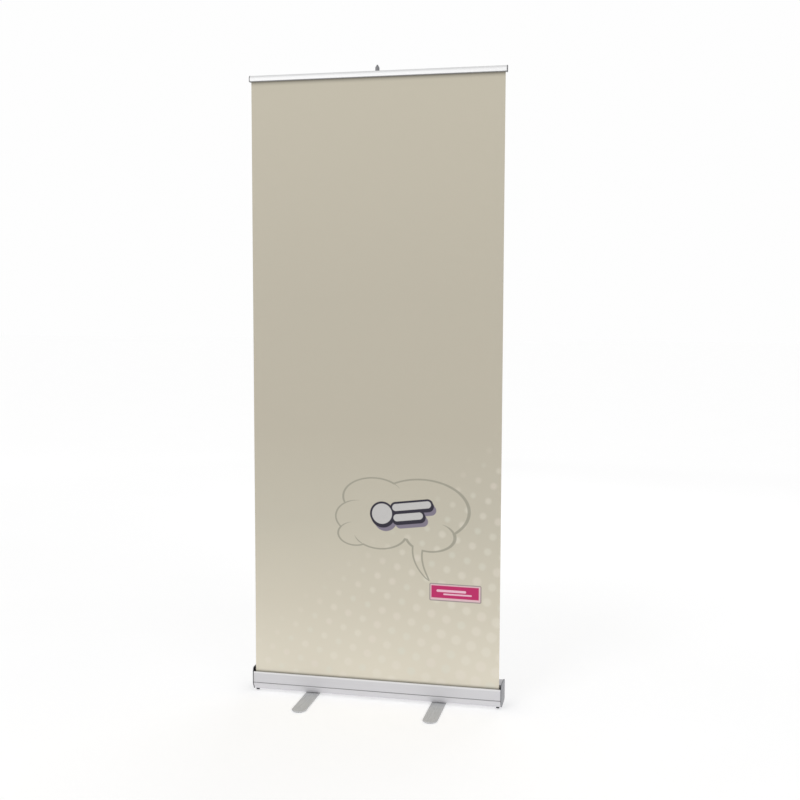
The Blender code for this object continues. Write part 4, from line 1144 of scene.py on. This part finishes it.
class BANNERSTAND_OT_rail(bpy.types.Operator):
    """Build the clamp rail: front extrusion, jaw and end caps"""

    bl_idname = "bannerstand.rail"
    bl_label = "Clamp rail"

    def execute(self, context):
        half = RAIL_HI.x
        front, back, low, top = RAIL_LO.y, RAIL_HI.y, RAIL_LO.z, RAIL_HI.z
        grip = 0.0005
        outer = rounded([
            (BANNER_Y - grip, low + 0.007, 0),
            (BANNER_Y - grip, low, 0.0007),
            (front, low, 0.0016),
            (front, top, 0.011),
            (back, top, 0.003),
            (back, JAW_HI.z + 0.0006, 0),
        ])
        wall = np.concatenate((outer, parallel(outer, -RAIL_WALL, closed=False)[::-1]))
        add_piece("rail_front", new_mesh("rail", *prism(wall, -half, half)), finish_material("rail"),
                  "rail", ["rail_profile"])
        jaw = rounded([
            (back, JAW_HI.z, 0),
            (back, low, 0.0014),
            (BANNER_Y + grip, low, 0.0014),
            (BANNER_Y + grip, low + 0.0055, 0),
        ])
        wall = np.concatenate((jaw, parallel(jaw, -JAW_WALL, closed=False)[::-1]))
        add_piece("rail_clamp", new_mesh("jaw", *prism(wall, -half, half)), finish_material("rail"),
                  "jaw", ["rail_jaw"])
        proud = 0.0004
        plan = rounded([
            (front - proud, low - proud, 0.0016),
            (front - proud, top + proud, 0.011),
            (back + proud, top + proud, 0.003),
            (back + proud, low - proud, 0.0016),
        ], closed=True)
        for side, label in SIDES:
            loops = cushion(plan, RAIL_CAP_LO.x, RAIL_CAP_HI.x, 0.0005)
            part = loft(x_rings([(loop, side * x) for loop, x in loops]))
            add_piece(f"rail_end_{label}", new_mesh("rail_cap", *part), finish_material("rail_cap"), "rail",
                      [f"rail_cap_{label}"])
        return {"FINISHED"}


# ---------------------------------------------------------------- pole
POLE_RADIUS = 0.0065
POLE_BORE = 0.0055
HEAD_RADIUS = 0.007
HEAD_CONE = 0.009
HEAD_COLLAR = 0.046
HOOK_GAP = 0.0006
HOOK_NOSE = 0.009
HOOK_LIP = 0.0035
HOOK_THICKNESS = 0.005
HOOK_HALF = 0.004


def along_pole(z):
    """Distance up the pole's axis of a height."""
    return (z - POLE_FOOT[2]) / math.cos(POLE_LEAN)


class BANNERSTAND_OT_pole(bpy.types.Operator):
    """Build the pole's three tubes and its hooked head"""

    bl_idname = "bannerstand.pole"
    bl_label = "Pole"

    def execute(self, context):
        tip = along_pole(HEAD_HI.z)
        length = tip - HEAD_CONE - HEAD_COLLAR - 0.0003
        section = (length - 0.0003 * 3) / 3
        rim = 0.00025
        for index, label in enumerate(("lower", "middle", "upper")):
            low = index * (section + 0.0003)
            high = low + section
            profile = [(POLE_BORE + rim, low), (POLE_RADIUS - rim, low), (POLE_RADIUS, low + rim),
                       (POLE_RADIUS, high - rim), (POLE_RADIUS - rim, high), (POLE_BORE + rim, high),
                       (POLE_BORE, high - rim), (POLE_BORE, low + rim)]
            part = moved(loft(turned(profile, 64), ends="ring"), pole_matrix())
            add_piece(f"tube_{label}", new_mesh("tube", *part), finish_material("tube"), f"pole_{label}",
                      [f"pole_tube_{label}"])
        self.head(tip)
        dress(["pole_ferrule_lower", "pole_ferrule_middle"], finish_material("steel"))
        dress(["pole_foot_plug"], finish_material("plastic"))
        dress(["bungee_cord"], finish_material("cord"))
        return {"FINISHED"}

    def head(self, tip):
        """Moulded head: stem in the tube, ribbed collar and rounded cone, turned, and a hook arm whose
        outline is rounded at every corner.
        """
        cone = tip - HEAD_CONE
        collar = cone - HEAD_COLLAR
        stem = 0.0052
        turn = np.linspace(0, math.pi / 2, 7)
        nose = 0.00245
        profile = [(ON_AXIS, collar - 0.0333), (stem - 0.0004, collar - 0.0333), (stem, collar - 0.0329),
                   (stem, collar), (HEAD_RADIUS - 0.0004, collar), (HEAD_RADIUS, collar + 0.0004)]
        for rib in range(3):
            at = collar + 0.003 + rib * 0.0032
            profile += [(HEAD_RADIUS, at), (HEAD_RADIUS - 0.00035, at + 0.0004),
                        (HEAD_RADIUS - 0.00035, at + 0.0011), (HEAD_RADIUS, at + 0.0015)]
        profile += [(HEAD_RADIUS, cone - 0.0008), (HEAD_RADIUS - 0.0003, cone + 0.0002)]
        profile += [(nose * math.cos(angle) + ON_AXIS, tip - 0.0018 * (1 - math.sin(angle)))
                    for angle in turn]
        body = moved(loft(turned(profile, 64)), pole_matrix())
        hook_z = JAW_HI.z + HOOK_GAP
        nose_y = RAIL_HI.y + HOOK_GAP
        axis_y = POLE_FOOT[1] - math.tan(POLE_LEAN) * (hook_z - POLE_FOOT[2])
        arm = rounded([
            (axis_y, hook_z, 0.0005),
            (nose_y, hook_z, 0.0014),
            (nose_y, hook_z + HOOK_NOSE, 0.0012),
            (nose_y + HOOK_LIP, hook_z + HOOK_NOSE, 0.0014),
            (nose_y + HOOK_LIP, hook_z + HOOK_THICKNESS, 0.0016),
            (axis_y, hook_z + HOOK_THICKNESS, 0.0005),
        ], closed=True)
        hook = prism(arm, -HOOK_HALF, HOOK_HALF, 0.0004)
        head = weld(new_mesh("head", *body), new_mesh("hook", *hook))
        head.shade_smooth()
        head.set_sharp_from_angle(angle=math.radians(38))
        add_piece("hook_head", head, finish_material("head"), "pole_upper", ["pole_head"])


# ---------------------------------------------------------------- feet
FOOT_GROOVES = 4
GROOVE_WIDTH = 0.0016
GROOVE_DROP = 0.0008
SCALLOP = 0.0014
BOLT_SHANK = 0.003


def foot_part(edge):
    """Foot bar about the pivot, with the bar along Y.

    A point of the plan is (x, t): y is t times the half length at that x, which is the straight part plus
    the height of the half circle that ends the bar, less a small scallop where a groove runs out. The rims
    are that plan shrunk by each ring's inset along a quarter circle, and the grooves lower the top by a
    rounded notch across x.
    """
    half = (FOOT_HI.x - FOOT_LO.x) / 2
    straight = (FOOT_HI.y - FOOT_LO.y) / 2 - half
    low, high = FOOT_LO.z, FOOT_HI.z
    pitch = 2 * half / (FOOT_GROOVES + 1)
    centres = (np.arange(FOOT_GROOVES) - (FOOT_GROOVES - 1) / 2) * pitch
    x = half * np.sin(np.linspace(-math.pi / 2, math.pi / 2, 49))
    fine = (centres[:, None] + np.linspace(-1.4, 1.4, 13) * GROOVE_WIDTH).ravel()
    x = np.unique(np.round(np.concatenate((x, fine)), 6))
    t = np.linspace(-1, 1, 61)
    away = np.abs(x[:, None] - centres).min(1) / GROOVE_WIDTH
    notch = np.cos(np.clip(away / 1.2, 0, 1) * math.pi / 2) ** 1.2

    def plan(shrink):
        """Grid of the plan, shrunk by a distance."""
        scaled = x * (half - shrink) / half
        reach = straight + np.sqrt(np.maximum((half - shrink) ** 2 - scaled ** 2, 0)) - SCALLOP * notch
        grid_x, grid_t = np.meshgrid(scaled, t)
        return grid_x, grid_t * reach

    top = np.stack((*plan(edge), np.tile(high - GROOVE_DROP * notch, (len(t), 1))), -1)
    bottom = np.stack((*plan(edge), np.full(top.shape[:2], low)), -1)
    rows, columns = top.shape[:2]
    count = rows * columns
    grid = np.arange(count).reshape(rows, columns)
    rim = np.concatenate((grid[0, :-1], grid[:-1, -1], grid[-1, :0:-1], grid[:0:-1, 0]))
    top_rim = top.reshape(-1, 3)[rim][:, 2]
    turn = np.linspace(0, math.pi / 2, 5)
    rings = []
    for angle in (*turn[1:], *turn[1:][::-1]):
        around = np.stack((*plan(edge * (1 - math.sin(angle))), np.zeros((rows, columns))), -1)
        around = around.reshape(-1, 3)[rim]
        fall = edge * (1 - math.cos(angle))
        around[:, 2] = top_rim - fall if len(rings) < len(turn) - 1 else low + fall
        rings.append(around)
    points = np.concatenate((top.reshape(-1, 3), bottom.reshape(-1, 3), *rings))
    top_faces = quads(rows, columns, round_columns=False)
    bottom_faces = top_faces[:, ::-1] + count
    chain = [rim, *(np.arange(len(rim)) + 2 * count + index * len(rim) for index in range(len(rings))),
             rim + count]
    sides = [np.stack((upper, lower, np.roll(lower, -1), np.roll(upper, -1)), 1)
             for upper, lower in zip(chain[:-1], chain[1:])]
    return points, [top_faces, bottom_faces, *sides]


class BANNERSTAND_OT_feet(bpy.types.Operator):
    """Build the two swing-out feet with their pads and pivots"""

    bl_idname = "bannerstand.feet"
    bl_label = "Feet"

    def execute(self, context):
        shape = settings().shape
        for side, label in SIDES:
            body = f"foot_{label}"
            at_pivot = Matrix.Translation((side * FOOT_X, 0, 0))
            bar = new_mesh("foot", *moved(foot_part(shape.foot_edge), at_pivot))
            add_piece(f"swing_foot_{label}", bar, finish_material("foot"), body,
                      [f"foot_bar_{label}"])
            for row in ("front", "rear"):
                node = f"foot_pad_{label}_{row}"
                low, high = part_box(node)
                middle = (low + high) / 2
                radius = (high.x - low.x) / 2
                part = moved(loft(turned(self.pad_profile(radius, high.z), 72)),
                             Matrix.Translation((middle.x, middle.y, low.z)))
                add_piece(f"pad_{label}_{row}", new_mesh("pad", *part), finish_material("rubber"), body,
                          [node])
            self.pivot(side, label)
        return {"FINISHED"}

    def pad_profile(self, radius, height):
        """Pad with rounded rims and concentric ribs underneath."""
        ribs = [(ON_AXIS, 0.0004)]
        for ring in range(1, 7):
            at = radius * ring / 7.2
            ribs += [(at - 0.0007, 0.0004), (at - 0.0003, 0.0), (at + 0.0003, 0.0), (at + 0.0007, 0.0004)]
        return ribs + [(radius - 0.0009, 0.0), (radius - 0.0003, 0.0002), (radius, 0.0006),
                       (radius, height - 0.0004), (radius - 0.0004, height), (ON_AXIS, height)]

    def pivot(self, side, label):
        """Flat-headed bolt with a domed rim and a hexagon socket, and the spacer under the cassette."""
        place = Matrix.Translation((side * FOOT_X, 0, 0))
        low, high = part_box(f"pivot_bolt_{label}")
        head = (high.x - low.x) / 2
        profile = [(ON_AXIS, low.z), (head - 0.0012, low.z), (head - 0.0004, low.z + 0.0002),
                   (head, low.z + 0.0006), (head, FOOT_LO.z - 0.0003), (BOLT_SHANK, FOOT_LO.z - 0.0003),
                   (BOLT_SHANK, high.z - 0.0005), (BOLT_SHANK - 0.0005, high.z), (ON_AXIS, high.z)]
        bolt = new_mesh("bolt", *moved(loft(turned(profile, 64)), place))
        hexagon = moved(round_bar(0.0023, low.z - 0.002, low.z + 0.0011, 6), place)
        add_piece(f"bolt_{label}", carve(bolt, [hexagon]), finish_material("steel"), "base",
                  [f"pivot_bolt_{label}"])
        low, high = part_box(f"pivot_washer_{label}")
        outer = (high.x - low.x) / 2
        profile = [(PIVOT_HOLE, low.z), (outer - 0.0003, low.z), (outer, low.z + 0.0003),
                   (outer, high.z - 0.0003), (outer - 0.0003, high.z), (PIVOT_HOLE, high.z)]
        part = moved(loft(turned(profile, 72), ends="ring"), place)
        add_piece(f"spacer_{label}", new_mesh("spacer", *part), finish_material("plastic"), "base",
                  [f"pivot_washer_{label}"])
        dress([f"pivot_nut_{label}"], finish_material("steel"))


# ---------------------------------------------------------------- stage
# Each lamp is a name, a place, the point it faces, its side in metres and its power in watts.
LAMPS = (
    ("key", (-1.9, -4.6, 3.2), (0, 0, 0.9), 2.4, 41),
    ("fill", (3.2, -3.8, 2.2), (0, 0, 0.8), 3.0, 21.5),
    ("back", (0.5, 3.5, 3.2), (0, 0, 0.9), 3.0, 20),
)
CAMERA_PLACE = (0.86244, -3.62430, 1.34049)
CAMERA_HEADING = math.radians(12.2255)
CAMERA_FALL = math.radians(4.8595)
CAMERA_ROLL = math.radians(0.17988)
FLOOR_HALF = 40.0
GLOW_START = 1.2
GLOW_SPREAD = 5.0
LIT_STRENGTH = 0.56
SEEN_STRENGTH = 0.99


class BANNERSTAND_OT_stage(bpy.types.Operator):
    """Set the pale floor, the studio light and the camera"""

    bl_idname = "bannerstand.stage"
    bl_label = "Stage"

    def execute(self, context):
        scene = context.scene
        scene.view_settings.view_transform = "Standard"
        self.floor(scene)
        self.world(scene)
        for name, place, target, size, power in LAMPS:
            self.light(scene, name, place, target, size, power)
        self.camera(scene)
        return {"FINISHED"}

    def floor(self, scene):
        """Wide square floor with a barely mottled white paint."""
        size = FLOOR_HALF
        points = np.array([(-size, -size, 0), (size, -size, 0), (size, size, 0), (-size, size, 0)])
        mesh = bpy.data.meshes.new("floor")
        mesh.from_pydata(points.tolist(), [], [(0, 1, 2, 3)])
        g = Graph("pale_floor")
        cloud = g.noise(g.coordinates(), 1.5, 3.0)
        tone = g.mix(cloud, (0.90, 0.90, 0.90), (0.93, 0.93, 0.93))
        away = g.node("ShaderNodeVectorMath", {"operation": "LENGTH"}, {0: g.coordinates()}, output=1)
        far = ((away - GLOW_START) / GLOW_SPREAD).math("MULTIPLY", 1.0, clamp=True)
        glow = g.mix(far, (0.36, 0.36, 0.36), (0.47, 0.47, 0.47))
        mesh.materials.append(g.finish(tone, 0.9, 0.0, Emission_Color=glow, Emission_Strength=1.0))
        floor = bpy.data.objects.new("floor", mesh)
        scene.collection.objects.link(floor)

    def world(self, scene):
        """Even white surroundings."""
        world = bpy.data.worlds.new("studio")
        world.use_nodes = True
        tree = world.node_tree
        lit = tree.nodes["Background"]
        lit.inputs["Color"].default_value = (1.0, 1.0, 1.0, 1.0)
        lit.inputs["Strength"].default_value = LIT_STRENGTH
        seen = tree.nodes.new("ShaderNodeBackground")
        seen.inputs["Color"].default_value = (1.0, 1.0, 1.0, 1.0)
        seen.inputs["Strength"].default_value = SEEN_STRENGTH
        path = tree.nodes.new("ShaderNodeLightPath")
        mixed = tree.nodes.new("ShaderNodeMixShader")
        tree.links.new(path.outputs["Is Camera Ray"], mixed.inputs[0])
        tree.links.new(lit.outputs[0], mixed.inputs[1])
        tree.links.new(seen.outputs[0], mixed.inputs[2])
        tree.links.new(mixed.outputs[0], tree.nodes["World Output"].inputs["Surface"])
        scene.world = world

    def light(self, scene, name, place, target, size, power):
        """Square soft box that faces a point."""
        data = bpy.data.lights.new(name, "AREA")
        data.shape = "SQUARE"
        data.size = size
        data.energy = power
        lamp = bpy.data.objects.new(name, data)
        lamp.location = place
        lamp.rotation_euler = (Vector(target) - Vector(place)).to_track_quat("-Z", "Y").to_euler()
        scene.collection.objects.link(lamp)

    def camera(self, scene):
        """Camera from its place, its heading left of +Y, its fall and its roll."""
        heading, fall, roll = CAMERA_HEADING, CAMERA_FALL, CAMERA_ROLL
        ahead = Vector((-math.sin(heading) * math.cos(fall), math.cos(heading) * math.cos(fall),
                        -math.sin(fall)))
        right = Vector((math.cos(heading), math.sin(heading), 0))
        up = right.cross(ahead)
        turned_right = right * math.cos(roll) + up * math.sin(roll)
        turned_up = up * math.cos(roll) - right * math.sin(roll)
        data = bpy.data.cameras.new("camera")
        data.lens = 50
        data.sensor_width = 36
        data.clip_end = 200
        camera = bpy.data.objects.new("camera", data)
        matrix = Matrix((turned_right, turned_up, -ahead)).transposed().to_4x4()
        matrix.translation = CAMERA_PLACE
        camera.matrix_world = matrix
        scene.collection.objects.link(camera)
        scene.camera = camera


# ---------------------------------------------------------------- panel and main
STEPS = ("cassette", "roller", "banner", "rail", "pole", "feet", "stage")


class BANNERSTAND_PT_panel(bpy.types.Panel):
    """Buttons and settings of the banner stand"""

    bl_idname = "BANNERSTAND_PT_panel"
    bl_label = "Banner stand"
    bl_space_type = "VIEW_3D"
    bl_region_type = "UI"
    bl_category = "Banner stand"

    def draw(self, context):
        layout = self.layout
        for step in STEPS:
            layout.operator(f"bannerstand.{step}")
        for group in (settings().finish, settings().printed, settings().shape):
            box = layout.box()
            for key in group.bl_rna.properties.keys():
                if key not in ("rna_type", "name"):
                    box.prop(group, key)


CLASSES = (BannerStandFinish, BannerStandPrint, BannerStandShape, BannerStandSettings,
           BANNERSTAND_OT_cassette, BANNERSTAND_OT_roller, BANNERSTAND_OT_banner, BANNERSTAND_OT_rail,
           BANNERSTAND_OT_pole, BANNERSTAND_OT_feet, BANNERSTAND_OT_stage, BANNERSTAND_PT_panel)


def register():
    for item in CLASSES:
        bpy.utils.register_class(item)
    bpy.types.Scene.banner_stand = bpy.props.PointerProperty(type=BannerStandSettings)


def unregister():
    del bpy.types.Scene.banner_stand
    for item in reversed(CLASSES):
        bpy.utils.unregister_class(item)


def main():
    """Builds every piece."""
    register()
    for step in STEPS:
        getattr(bpy.ops.bannerstand, step)()


if __name__ == "__main__":
    main()
